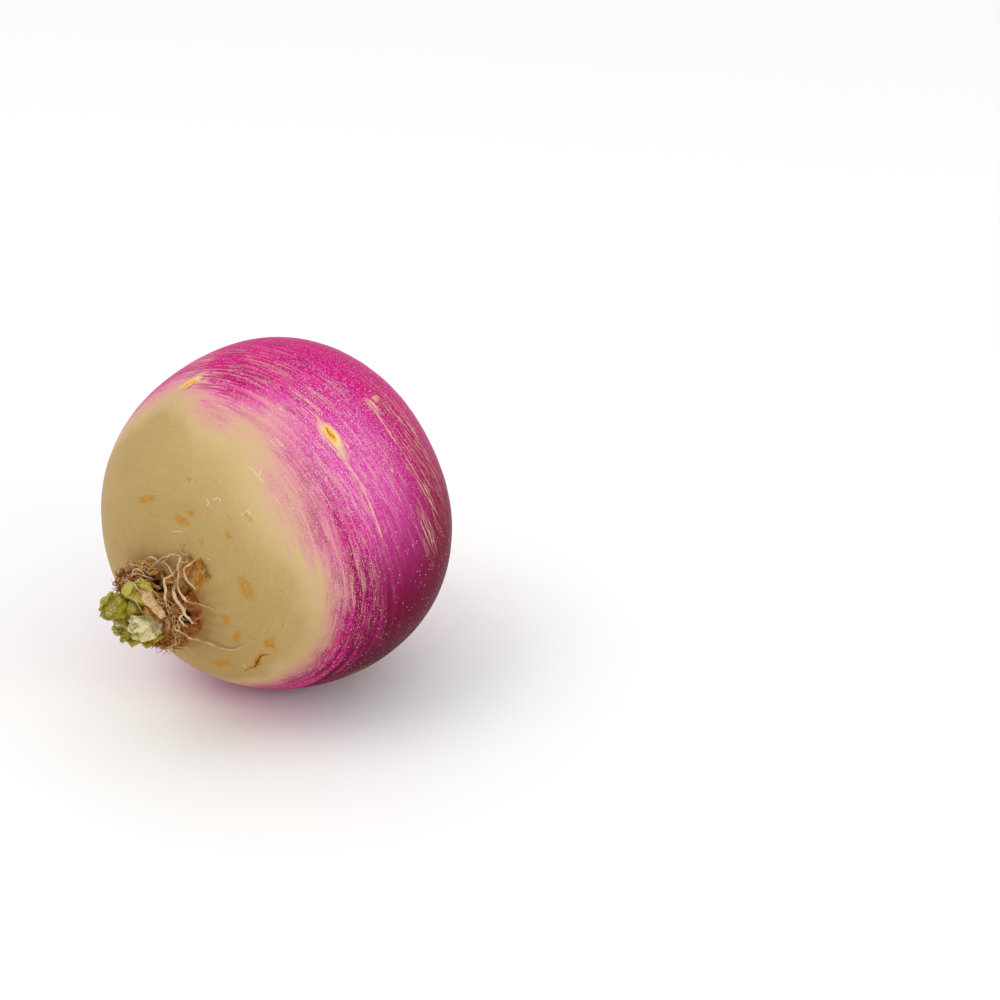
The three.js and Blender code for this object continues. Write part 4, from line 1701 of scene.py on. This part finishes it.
@dataclass(frozen=True)
class Scatter:
    """One small shape strewn over a surface by a geometry node tree.

    Attributes:
        name: The piece's name.
        per_square_mm: How many there are where the surface is painted to be sown.
        least: Smallest length in millimetres.
        most: Largest length in millimetres.
        tilt: Greatest lean off the surface, in degrees.
        spin: Greatest turn away from the crown's spokes, in degrees.
        curl: How far the strewn shapes are bent, in millimetres.
        curl_length: Over what length they bend, in millimetres.
        seed: Picks the places.
    """

    name: str
    per_square_mm: float
    least: float
    most: float
    tilt: float
    spin: float
    curl: float
    curl_length: float
    seed: int

    def tree(self) -> bpy.types.NodeTree:
        """Builds the node tree.

        Returns:
            The tree, with its sizes as named inputs.
        """
        g = Graph(bpy.data.node_groups.new(self.name, "GeometryNodeTree"))
        sockets = {"Surface": "Geometry", "Shape": "Object", "Finish": "Material", "Seed": "Int"}
        sizes = ("Density", "Least", "Most", "Tilt", "Spin", "Curl", "Curl Length")
        sockets |= dict.fromkeys(sizes, "Float")
        for name, kind in sockets.items():
            g.tree.interface.new_socket(name=name, in_out="INPUT", socket_type=f"NodeSocket{kind}")
        g.tree.interface.new_socket(name="Surface", in_out="OUTPUT", socket_type="NodeSocketGeometry")
        given = g.node("NodeGroupInput")
        take = {name: Wire(g, given.outputs[name]) for name in sockets}
        sow = g.wire("GeometryNodeInputNamedAttribute", {"Name": "sow"}, "Attribute", data_type="FLOAT")
        strewn = g.node("GeometryNodeDistributePointsOnFaces", {
            "Mesh": take["Surface"], "Density": take["Density"] * sow, "Seed": take["Seed"],
        }, distribute_method="RANDOM")

        # Each shape lies along the crown's spokes, then is spun and leant a little at random.
        place = g.wire("GeometryNodeInputPosition")
        axis = tuple(LYING.matrix[:, 2])
        from_middle = g.vector("SUBTRACT", place, tuple(LYING.centre))
        height = g.vector("DOT_PRODUCT", from_middle, axis)
        spoke = g.vector("SUBTRACT", from_middle, g.vector("SCALE", axis, scale=height))
        aimed = g.wire("FunctionNodeAlignRotationToVector", {
            "Rotation": Wire(g, strewn.outputs["Rotation"]), "Vector": spoke,
        }, axis="X", pivot_axis="Z")
        lean = g.join(0.0, self.random(g, take["Tilt"] * -1.0, take["Tilt"] * 0.3, 3), 0.0)
        spun = g.join(0.0, 0.0, self.random(g, take["Spin"] * -1.0, take["Spin"], 4))
        placed = g.wire("GeometryNodeInstanceOnPoints", {
            "Points": Wire(g, strewn.outputs["Points"]),
            "Instance": g.wire("GeometryNodeObjectInfo", {"Object": take["Shape"]}, "Geometry"),
            "Rotation": self.turned(g, self.turned(g, aimed, spun), lean),
            "Scale": self.random(g, take["Least"], take["Most"], 5),
        })
        shaded = g.wire("GeometryNodeStoreNamedAttribute", {
            "Geometry": placed, "Name": "shade", "Value": self.random(g, 0.0, 1.0, 6),
        }, data_type="FLOAT", domain="INSTANCE")
        push = g.shake(place, g.math("DIVIDE", 1.0, take["Curl Length"]), 1.5, 0.5)
        bent = g.wire("GeometryNodeSetPosition", {
            "Geometry": g.wire("GeometryNodeRealizeInstances", (shaded,)),
            "Offset": g.vector("SCALE", push, scale=take["Curl"]),
        })
        dressed = g.wire("GeometryNodeSetMaterial", {"Geometry": bent, "Material": take["Finish"]})
        g.node("NodeGroupOutput", (dressed,))
        return g.tree

    @staticmethod
    def random(g: Graph, low: Value, high: Value, seed: int) -> Wire:
        """A random number for each point, from low to high."""
        return g.wire("FunctionNodeRandomValue", {2: low, 3: high, "Seed": seed}, 1, data_type="FLOAT")

    @staticmethod
    def turned(g: Graph, rotation: Wire, euler: Wire) -> Wire:
        """A rotation turned by Euler angles in its own frame."""
        inputs = {"Rotation": rotation, "Rotate By": g.wire("FunctionNodeEulerToRotation", (euler,))}
        return g.wire("FunctionNodeRotateRotation", inputs, rotation_space="LOCAL")

    def strew(self, surface: bpy.types.Object, shape: Shell, finish: bpy.types.Material) -> bpy.types.Object:
        """Strews the shape over a surface.

        Args:
            surface: The object that is sown.
            shape: The shape, one millimetre long for each unit of length.
            finish: The material of what's strewn.

        Returns:
            The strewn shapes as one plain mesh object at the origin.
        """
        pattern = make_piece(f"{self.name}_shape", shape.points * MM, shape.faces(), finish)
        piece = link_object(self.name, surface.data.copy())
        modifier = piece.modifiers.new("strew", "NODES")
        modifier.node_group = self.tree()
        given = {
            "Shape": pattern, "Finish": finish, "Density": self.per_square_mm / MM ** 2, "Least": self.least,
            "Most": self.most, "Tilt": math.radians(self.tilt), "Spin": math.radians(self.spin),
            "Curl": self.curl * MM, "Curl Length": self.curl_length * MM, "Seed": self.seed,
        }
        for item in modifier.node_group.interface.items_tree:
            if item.in_out == "INPUT" and item.name in given:
                modifier[item.identifier] = given[item.name]
        state = bpy.context.evaluated_depsgraph_get()
        mesh = bpy.data.meshes.new_from_object(
            piece.evaluated_get(state), preserve_all_data_layers=True, depsgraph=state,
        )
        piece.modifiers.remove(modifier)
        piece.data = mesh
        mesh.polygons.foreach_set("use_smooth", [True] * len(mesh.polygons))
        bpy.data.objects.remove(pattern)
        return piece


def strip_shape(width: float, thickness: float, bow: float, rows: int = 7) -> Shell:
    """A thin torn strip that starts at the origin and runs along +X, one unit long.

    Args:
        width: Its width at the middle.
        thickness: How thick it is.
        bow: How far its middle stands above its ends.
        rows: How many rings of corners it has.

    Returns:
        The strip.
    """
    share = np.linspace(0, 1, rows)
    turns = full_turn(6)
    taper = 1 - 0.75 * share ** 2
    line = np.stack([share, 0.1 * np.sin(2.4 * share), bow * np.sin(math.pi * share)], -1)
    flat = np.stack([np.zeros(6), 0.5 * width * np.cos(turns), 0.5 * thickness * np.sin(turns)], -1)
    rings = line[:, None] + flat[None] * taper[:, None, None]
    return Shell(rings, line[0], line[-1])


@dataclass
class CrownLitter:
    """What's strewn over the cork: torn strips of leaf base and curly fibres."""

    strips: Scatter = Scatter(
        "torn_strips", per_square_mm=1.2, least=1.2, most=3.4, tilt=10.0, spin=60.0, curl=0.9,
        curl_length=2.6, seed=5,
    )
    fibres: Scatter = Scatter(
        "curly_fibres", per_square_mm=0.85, least=1.8, most=4.4, tilt=6.0, spin=110.0, curl=1.6,
        curl_length=3.0, seed=8,
    )
    fibre_finish: FibreFinish = FibreFinish(srgb(186, 142, 94), srgb(146, 94, 48), srgb(104, 50, 16), 0.5)

    def build(self, cork: bpy.types.Object) -> None:
        """Strews both kinds.

        Args:
            cork: The collar they lie on.
        """
        strip = strip_shape(width=0.16, thickness=0.05, bow=0.14)
        claim(self.strips.strew(cork, strip, CorkFinish().make()), Slot.CORK)
        thread = strip_shape(width=0.045, thickness=0.045, bow=0.22, rows=10)
        claim(self.fibres.strew(cork, thread, self.fibre_finish.make()), Slot.FIBRE)


@dataclass
class LeafStalks:
    """The six cut leaf stalks, each of one or a few lobes."""

    finishes: dict[Slot, StalkFinish] = field(default_factory=lambda: {
        Slot.LIME: StalkFinish("lime_stalk", srgb(172, 152, 34), srgb(150, 112, 14), srgb(182, 176, 36),
                               srgb(186, 170, 76), grain=0.15),
        Slot.OLIVE: StalkFinish("olive_stalk", srgb(164, 148, 26), srgb(128, 118, 16), srgb(158, 146, 46),
                                srgb(196, 184, 112), grain=0.8),
        Slot.WHITE: StalkFinish("white_stalk", srgb(190, 176, 72), srgb(168, 148, 36), srgb(190, 178, 92),
                                srgb(222, 212, 164), grain=0.25),
    })
    stalks: tuple[Growth, ...] = (
        Growth("lime_stalk", Slot.LIME, (
            Stub((104, 5.6, 48.6), (106, 10.5, 53.4), 3.4, 2.4, 0.35, 0.3, ribs=0.0, boxy=0.55, slant=0.1,
                 tilt=0.3, dome=0.05, lump=0.10, grain=0.02, tone=0.7, seed=3),
            Stub((92, 4.6, 48.6), (92, 9.0, 53.8), 4.6, 1.7, 0.35, 0.4, ribs=0.0, boxy=0.6, slant=-0.2,
                 dome=0.05, lump=0.10, grain=0.02, tone=0.0, seed=33),
            Stub((84, 7.4, 48.6), (84, 12.0, 51.8), 3.0, 1.5, 0.3, 0.4, ribs=0.0, boxy=0.6, dome=0.1,
                 lump=0.14, grain=0.05, ragged=0.5, tone=1.0, seed=4),
        )),
        Growth("olive_stalk", Slot.OLIVE, (
            Stub((160, 3.8, 48.6), (131, 8.4, 57.0), 4.8, 4.4, 0.3, 0.3, dome=0.6, lump=0.3, grain=0.22,
                 tone=0.3, seed=5),
            Stub((150, 5.2, 50.0), (136, 10.4, 57.0), 5.0, 2.0, 0.1, 1.2, ribs=0.0, dome=0.7, lump=0.3,
                 grain=0.12, tone=0.1, seed=6),
            Stub((170, 4.6, 50.0), (160, 9.4, 56.6), 3.4, 3.0, 0.2, 0.4, dome=0.9, lump=0.3, grain=0.2,
                 tone=0.3, seed=36),
            Stub((120, 3.2, 49.0), (112, 5.4, 54.4), 3.4, 3.2, 0.2, 0.2, ribs=0.0, dome=1.3, lump=0.16,
                 grain=0.03, tone=0.1, seed=7),
        )),
        Growth("dark_stalk", Slot.OLIVE, (
            Stub((212, 4.2, 48.6), (176, 4.6, 56.7), 3.8, 3.4, 0.35, 0.3, dome=0.6, lump=0.45, grain=0.3,
                 ragged=0.7, tone=0.4, seed=8),
            Stub((226, 5.0, 48.6), (212, 5.8, 55.7), 2.7, 2.5, 0.4, 0.3, dome=0.5, lump=0.4, grain=0.3,
                 ragged=0.9, tone=0.5, seed=9),
            Stub((190, 4.6, 49.6), (150, 5.2, 57.0), 2.2, 2.2, 0.4, 0.3, dome=0.5, lump=0.35, grain=0.25,
                 ragged=0.6, tone=0.6, seed=10),
        )),
        Growth("white_stalk", Slot.WHITE, (
            Stub((290, 2.0, 48.6), (350, 1.2, 54.6), 3.1, 5.6, 0.1, 0.4, ribs=0.02, tilt=0.25, dome=0.4,
                 lump=0.16, grain=0.04, tone=0.8, seed=11),
            Stub((20, 0.8, 49.0), (78, 3.1, 56.9), 2.9, 2.1, 0.35, 0.3, dome=0.4, lump=0.3, grain=0.3,
                 ragged=1.0, tone=1.0, seed=12),
            Stub((250, 1.4, 49.0), (150, 0.9, 56.2), 2.2, 2.6, 0.25, 0.2, dome=0.8, lump=0.25, grain=0.1,
                 tone=0.3, seed=13),
            Stub((262, 3.4, 49.0), (240, 2.4, 55.4), 2.4, 2.1, 0.2, 0.2, dome=0.7, lump=0.25, grain=0.1,
                 tone=0.2, seed=14),
        )),
        Growth("lower_tongue", Slot.LIME, (
            Stub((246, 5.6, 48.6), (237, 6.8, 55.3), 2.6, 1.3, 0.0, 0.4, dome=0.2, lump=0.15, ragged=0.6,
                 tone=0.9, seed=15),
        )),
        Growth("side_tongue", Slot.LIME, (
            Stub((282, 5.4, 48.6), (270, 5.6, 54.2), 2.9, 1.5, 0.0, 0.4, dome=0.2, lump=0.2, ragged=0.5,
                 tone=0.3, seed=16),
        )),
    )

    def build(self) -> None:
        """Makes the stalks."""
        dressed = {slot: finish.make() for slot, finish in self.finishes.items()}
        for i, stalk in enumerate(self.stalks, 1):
            stalk.build(dressed[stalk.slot], f"leaf_stalk_{i}")


@dataclass
class DryScales:
    """The four dry papery scales."""

    scales: tuple[Growth, ...] = (
        Growth("pink_scale", Slot.SCALE, (
            Flake((38, 6.4, 50.6), (79, 10.9, 53.0), 3.0, 0.4, 0.15, 0.9, lump=0.22, ragged=1.0, tone=1.0,
                  seed=21),
        )),
        Growth("straw_scale", Slot.SCALE, (
            Flake((36, 3.6, 49.0), (66, 7.2, 54.2), 5.0, 0.45, -0.5, 1.0, lump=0.2, ragged=0.7, tone=0.55,
                  seed=22),
        )),
        Growth("curled_scale", Slot.SCALE, (
            Flake((6, 5.6, 48.8), (10, 6.9, 52.0), 3.4, 0.5, -0.2, 2.0, lump=0.25, ragged=0.8, tone=0.8,
                  seed=23),
        )),
        Growth("amber_scale", Slot.SCALE, (
            Flake((62, 12.4, 43.8), (61, 17.2, 41.9), 3.8, 0.2, -0.1, 0.5, rounding=0.5, lump=0.2,
                  ragged=0.9, tone=0.0, seed=24),
            Flake((52, 12.2, 43.9), (51, 18.3, 41.5), 4.6, 0.2, -0.1, 0.5, rounding=0.5, lump=0.2,
                  ragged=0.9, tone=0.1, seed=25),
            Flake((42, 12.4, 43.6), (43, 17.0, 41.8), 4.0, 0.2, -0.2, 0.5, rounding=0.5, lump=0.2,
                  ragged=1.0, tone=0.0, seed=26),
        )),
    )

    def build(self) -> None:
        """Makes the scales."""
        finish = PaperFinish().make()
        for i, scale in enumerate(self.scales, 1):
            scale.build(finish, f"dry_scale_{i}")


@dataclass
class CollarShards:
    """Thin torn sheaths that stand round the collar's upper rim."""

    places: tuple[Triple, ...] = (
        (66, 11.6, 46.0), (73, 11.4, 46.4), (80, 11.8, 45.6), (88, 11.7, 46.6), (96, 12.3, 45.2),
        (104, 12.0, 46.4), (113, 12.5, 45.4), (122, 12.1, 46.6), (131, 12.5, 45.6), (140, 11.9, 47.2),
        (150, 12.2, 46.2), (60, 12.2, 43.8), (92, 10.2, 48.4), (102, 10.6, 48.8), (170, 11.6, 46.2),
        (195, 11.2, 46.2), (77, 9.8, 48.6), (116, 10.4, 48.6),
    )
    length: float = 2.2
    width: float = 2.3
    least: tuple[float, ...] = (0.7, 0.6, -8, 0.1)  # length and width, swing in degrees, and rise
    most: tuple[float, ...] = (1.2, 1.3, 8, 0.9)
    tones: tuple[float, ...] = (0.0, 0.1, 0.5, 0.9)
    seed: int = 41

    def build(self) -> None:
        """Makes the shards as one piece."""
        draw = np.random.default_rng(self.seed)
        shells: list[Shell] = []
        for turn, distance, height in self.places:
            long, wide, swing, rise = draw.uniform(self.least, self.most)
            tip = (turn + swing, distance + self.length * long * 0.6, height + self.length * long * rise)
            shard = Flake(
                (turn, distance, height), tip, self.width * wide, 0.28, -0.35, 1.6, lump=0.2, ragged=1.0,
                tone=float(draw.choice(self.tones)), seed=int(draw.integers(100)),
                rows=22, cap_rows=3, sides=40,
            )
            shells.append(shard.shell())
        claim(build_shells("collar_shards", shells, PaperFinish().make()), Slot.SCALE)


@dataclass
class RootFibres:
    """The separate root fibres over the collar: six large ones and some loose curls."""

    large: tuple[Strand, ...] = (
        Strand(0.44, ((61, 12.3, 0.1), (54, 11.7, 0.4), (43, 11.0, 0.6), (30, 11.0, 0.6), (16, 10.9, 0.5),
                      (2, 10.9, 0.2)), seed=1),
        Strand(0.32, ((81, 14.6, 0.1), (78, 16.0, 0.3), (72, 16.8, 0.5), (68, 16.5, 0.5), (65, 14.3, 0.9),
                      (62, 13.6, 1.2), (57, 13.3, 1.5), (51, 12.9, 1.7)), seed=2),
        Strand(0.36, ((54, 12.1, 0.5), (45, 11.8, 0.7), (38, 11.7, 0.7), (33, 11.7, 0.7), (24, 11.8, 0.5),
                      (18, 13.0, 0.2), (11, 14.7, 0.0)), thin=0.4, tail=0.25, seed=3),
        Strand(0.25, ((57, 19.4, 1.2), (58, 17.5, 1.3), (59, 15.9, 1.4), (57, 14.9, 1.5), (51, 14.2, 1.5),
                      (43, 14.0, 1.3), (38, 13.8, 1.0)), seed=4),
        Strand(0.25, ((117, 11.0, 0.2), (113, 11.7, 0.3), (107, 13.1, 0.4), (101, 13.7, 0.6), (95, 13.5, 0.5),
                      (89, 12.8, 0.2)), seed=5),
        Strand(0.21, ((2, 7.2, 0.3), (-3, 8.2, 0.5), (-9, 9.7, 0.6), (-28, 10.5, 0.5), (-40, 12.4, 0.3),
                      (-38, 14.3, 0.1), (-36, 16.8, 0.0), (-32, 19.2, 0.0), (-25, 20.9, 0.0)),
               thin=0.7, seed=6),
    )
    loose: tuple[Strand, ...] = (
        Strand(0.32, ((66, 12.7, 0.2), (68, 12.5, 0.4), (69, 12.2, 0.4), (62, 11.5, 0.4), (54, 10.1, 0.4),
                      (43, 8.3, 0.2)), seed=11),
        Strand(0.28, ((26, 10.8, 0.1), (21, 10.3, 0.2), (17, 9.7, 0.4), (7, 9.8, 0.4), (-4, 10.2, 0.1)),
               seed=12),
    )
    fine: tuple[Strand, ...] = (
        Strand(0.16, ((71, 19.4, -0.3), (72, 18.0, -0.1), (69, 17.2, -0.2), (65, 17.6, -0.3)), seed=31),
        Strand(0.08, ((73, 21.2, -0.3), (69, 20.3, -0.2), (64, 19.9, -0.3)), seed=32),
        Strand(0.09, ((61, 19.1, -0.3), (60, 19.9, 0.1), (60, 20.9, 0.3)), seed=33),
        Strand(0.12, ((53, 20.6, -0.3), (51, 20.7, -0.1), (49, 20.8, -0.3)), seed=34),
        Strand(0.14, ((120, 12.2, 0.0), (107, 12.5, 0.2), (96, 12.3, 0.2), (86, 12.1, 0.0)), seed=35),
        Strand(0.12, ((133, 10.9, 0.1), (121, 11.9, 0.3), (111, 12.6, 0.2), (103, 13.2, 0.0)), seed=36),
        Strand(0.12, ((140, 10.9, 0.1), (131, 12.2, 0.3), (123, 13.0, 0.1)), seed=37),
        Strand(0.20, ((86, 13.2, 0.2), (77, 12.8, 0.4), (68, 12.6, 0.4), (62, 12.2, 0.2)), seed=38),
        Strand(0.18, ((79, 15.1, 0.0), (86, 13.3, 0.3), (86, 13.2, 0.5), (83, 12.8, 0.2)), seed=39),
        Strand(0.10, ((121, 11.7, 52.5), (104, 12.5, 52.8), (90, 12.5, 53.6), (82, 11.8, 54.2),
                      (70, 10.5, 53.6)), free=True, seed=40),
        Strand(0.09, ((117, 8.4, 54.5), (93, 9.5, 55.2), (80, 8.9, 55.4), (71, 7.9, 55.6),
                      (62, 6.6, 55.5)), free=True, seed=41),
        Strand(0.10, ((93, 12.8, 53.0), (81, 11.7, 54.0), (71, 11.9, 53.4), (62, 9.9, 52.8)),
               free=True, seed=42),
        Strand(0.20, ((123, 11.2, 0.1), (115, 11.7, 0.4), (114, 12.4, 0.7), (107, 12.7, 0.8), (98, 12.1, 0.6),
                      (92, 11.1, 0.1)), seed=51),
        Strand(0.15, ((129, 10.6, 0.1), (124, 11.2, 0.4), (114, 11.8, 0.6), (101, 11.9, 0.7), (88, 11.6, 0.5),
                      (82, 11.3, 0.1)), seed=52),
        Strand(0.17, ((98, 10.1, 0.1), (85, 10.0, 0.6), (72, 10.2, 0.6), (64, 9.7, 0.1)), seed=53),
        Strand(0.15, ((90, 11.7, 0.1), (94, 12.3, 0.5), (91, 13.3, 0.6), (84, 14.6, 0.4), (79, 15.5, 0.2)),
               seed=54),
        Strand(0.13, ((99, 11.0, 0.1), (89, 10.9, 0.5), (78, 11.1, 0.5), (73, 10.9, 0.1)), seed=55),
        Strand(0.12, ((109, 12.8, 0.1), (99, 12.4, 0.5), (89, 11.9, 0.4)), seed=56),
        Strand(0.12, ((160, 14.7, 0.2), (144, 13.6, 0.4), (132, 13.5, 0.1)), seed=57),
        Strand(0.14, ((79, 15.5, 0.2), (70, 15.8, 0.3), (64, 15.9, 0.3), (62, 17.2, 0.1)), seed=58),
        Strand(0.13, ((139, 14.0, 0.2), (121, 12.4, 0.3), (102, 12.0, 0.1)), seed=59),
    )
    stray_count: int = 90
    stray_least: tuple[float, ...] = (-75, -0.6, 10, -0.5, -0.2, 0.0, 0.05)  # in stray()'s order
    stray_most: tuple[float, ...] = (155, 0.75, 34, 0.4, 0.2, 0.45, 0.12)
    stray_seed: int = 61
    stray_finish: FibreFinish = FibreFinish(srgb(214, 174, 122), srgb(190, 134, 70), srgb(148, 84, 28), 0.3)

    def build(self) -> None:
        """Makes the fibres."""
        finish = FibreFinish().make()
        for i, strand in enumerate(self.large, 1):
            piece = build_shells(f"root_fibre_{i}", [strand.shell()], finish)
            claim(piece, Slot.FIBRE, f"crown_fibre_{i}")
        loose = [strand.shell() for strand in self.loose + self.fine]
        claim(build_shells("loose_fibres", loose, finish), Slot.FIBRE)
        stray = [strand.shell() for strand in self.stray()]
        claim(build_shells("stray_fibres", stray, self.stray_finish.make()), Slot.FIBRE)

    def stray(self) -> list[Strand]:
        """Strews short thin fibres round the collar's wall and top.

        Returns:
            The fibres.
        """
        draw = np.random.default_rng(self.stray_seed)
        strands = []
        for i in range(self.stray_count):
            turn, across, sweep, drift, bow, lift, radius = draw.uniform(self.stray_least, self.stray_most)
            sweep *= draw.choice((-1, 1))
            route = []
            for part in (0.0, 0.25, 0.5, 0.75, 1.0):
                toward = turn + sweep * part
                middle, wide, _ = CROWN.section(math.radians(toward))
                share = across + drift * part + bow * math.sin(7 * part)
                route.append((toward, middle + wide * share, lift + 0.8 * part * (1 - part)))
            strands.append(Strand(radius, tuple(route), seed=100 + i, steps=26, sides=6))
        return strands


@dataclass(frozen=True)
class Lamp:
    """A soft square lamp: where it hangs and its side, in metres, and its power in watts."""

    name: str
    place: Triple
    size: float
    power: float


@dataclass
class Studio:
    """The floor, the soft lights and the camera."""

    lamps: tuple[Lamp, ...] = (
        Lamp("key", (-0.35, -0.55, 1.25), 0.7, 3.5), Lamp("side", (1.15, -0.05, 0.62), 0.4, 2.5),
    )
    lying: Lying = LYING
    floor_size: float = 6.0
    lens: float = 85.0
    sensor: float = 36.0
    distance: float = 0.6139
    azimuth: float = math.radians(40.3)
    elevation: float = math.radians(28.0)
    axis_azimuth: float = math.radians(34.23)
    axis_elevation: float = math.radians(27.81)
    sky: float = 1.02
    horizon: float = 0.58

    def build(self) -> None:
        """Makes the floor, the lights and the camera."""
        half = self.floor_size / 2
        corners = np.array([[-half, -half, 0], [half, -half, 0], [half, half, 0], [-half, half, 0]])
        floor = make_piece("floor", corners, [(0, 1, 2, 3)], FloorFinish().make())
        for lamp in self.lamps:
            self.hang(lamp)
        self.dress_sky()
        self.place_camera()

    def hang(self, lamp: Lamp) -> None:
        """Hangs a lamp so that it faces the root.

        Args:
            lamp: The lamp.
        """
        light = bpy.data.lights.new(lamp.name, "AREA")
        light.size, light.energy = lamp.size, lamp.power
        held = link_object(lamp.name, light)
        held.location = lamp.place
        held.rotation_euler = (self.lying.centre - Vector(lamp.place)).to_track_quat("-Z", "Y").to_euler()

    def dress_sky(self) -> None:
        """Makes the surroundings white overhead and a little dimmer all round."""
        world = bpy.data.worlds.new("white_room")
        world.use_nodes = True
        g = Graph(world.node_tree)
        up = g.split(g.wire("ShaderNodeTexCoord", output="Generated"))[2]
        strength = self.horizon + (self.sky - self.horizon) * g.step(up, 0.0, 0.8)
        back = g.wire("ShaderNodeBackground", {"Color": (1.0, 1.0, 1.0, 1.0), "Strength": strength})
        g.node("ShaderNodeOutputWorld", (back,))
        bpy.context.scene.world = world
        bpy.context.scene.view_settings.view_transform = "Standard"

    def place_camera(self) -> None:
        """Sets the camera up where the root is seen from above its crown's left."""
        a, e = self.azimuth, self.elevation
        toward = Vector((math.sin(a) * math.cos(e), -math.cos(a) * math.cos(e), math.sin(e)))
        optics = bpy.data.cameras.new("camera")
        optics.lens = self.lens
        optics.sensor_width = self.sensor
        held = link_object("camera", optics)
        held.location = self.lying.centre + toward * self.distance
        held.rotation_euler = (math.pi / 2 - self.axis_elevation, 0.0, self.axis_azimuth)
        bpy.context.scene.camera = held


def main() -> None:
    """Builds the root and what grows on it, then the studio."""
    logging.basicConfig(level=logging.INFO, format="%(name)s: %(message)s")
    RootBody().build()
    cork = CorkCollar().build()
    CrownLitter().build(cork)
    LeafStalks().build()
    DryScales().build()
    CollarShards().build()
    RootFibres().build()
    Studio().build()


if __name__ == "__main__":
    main()
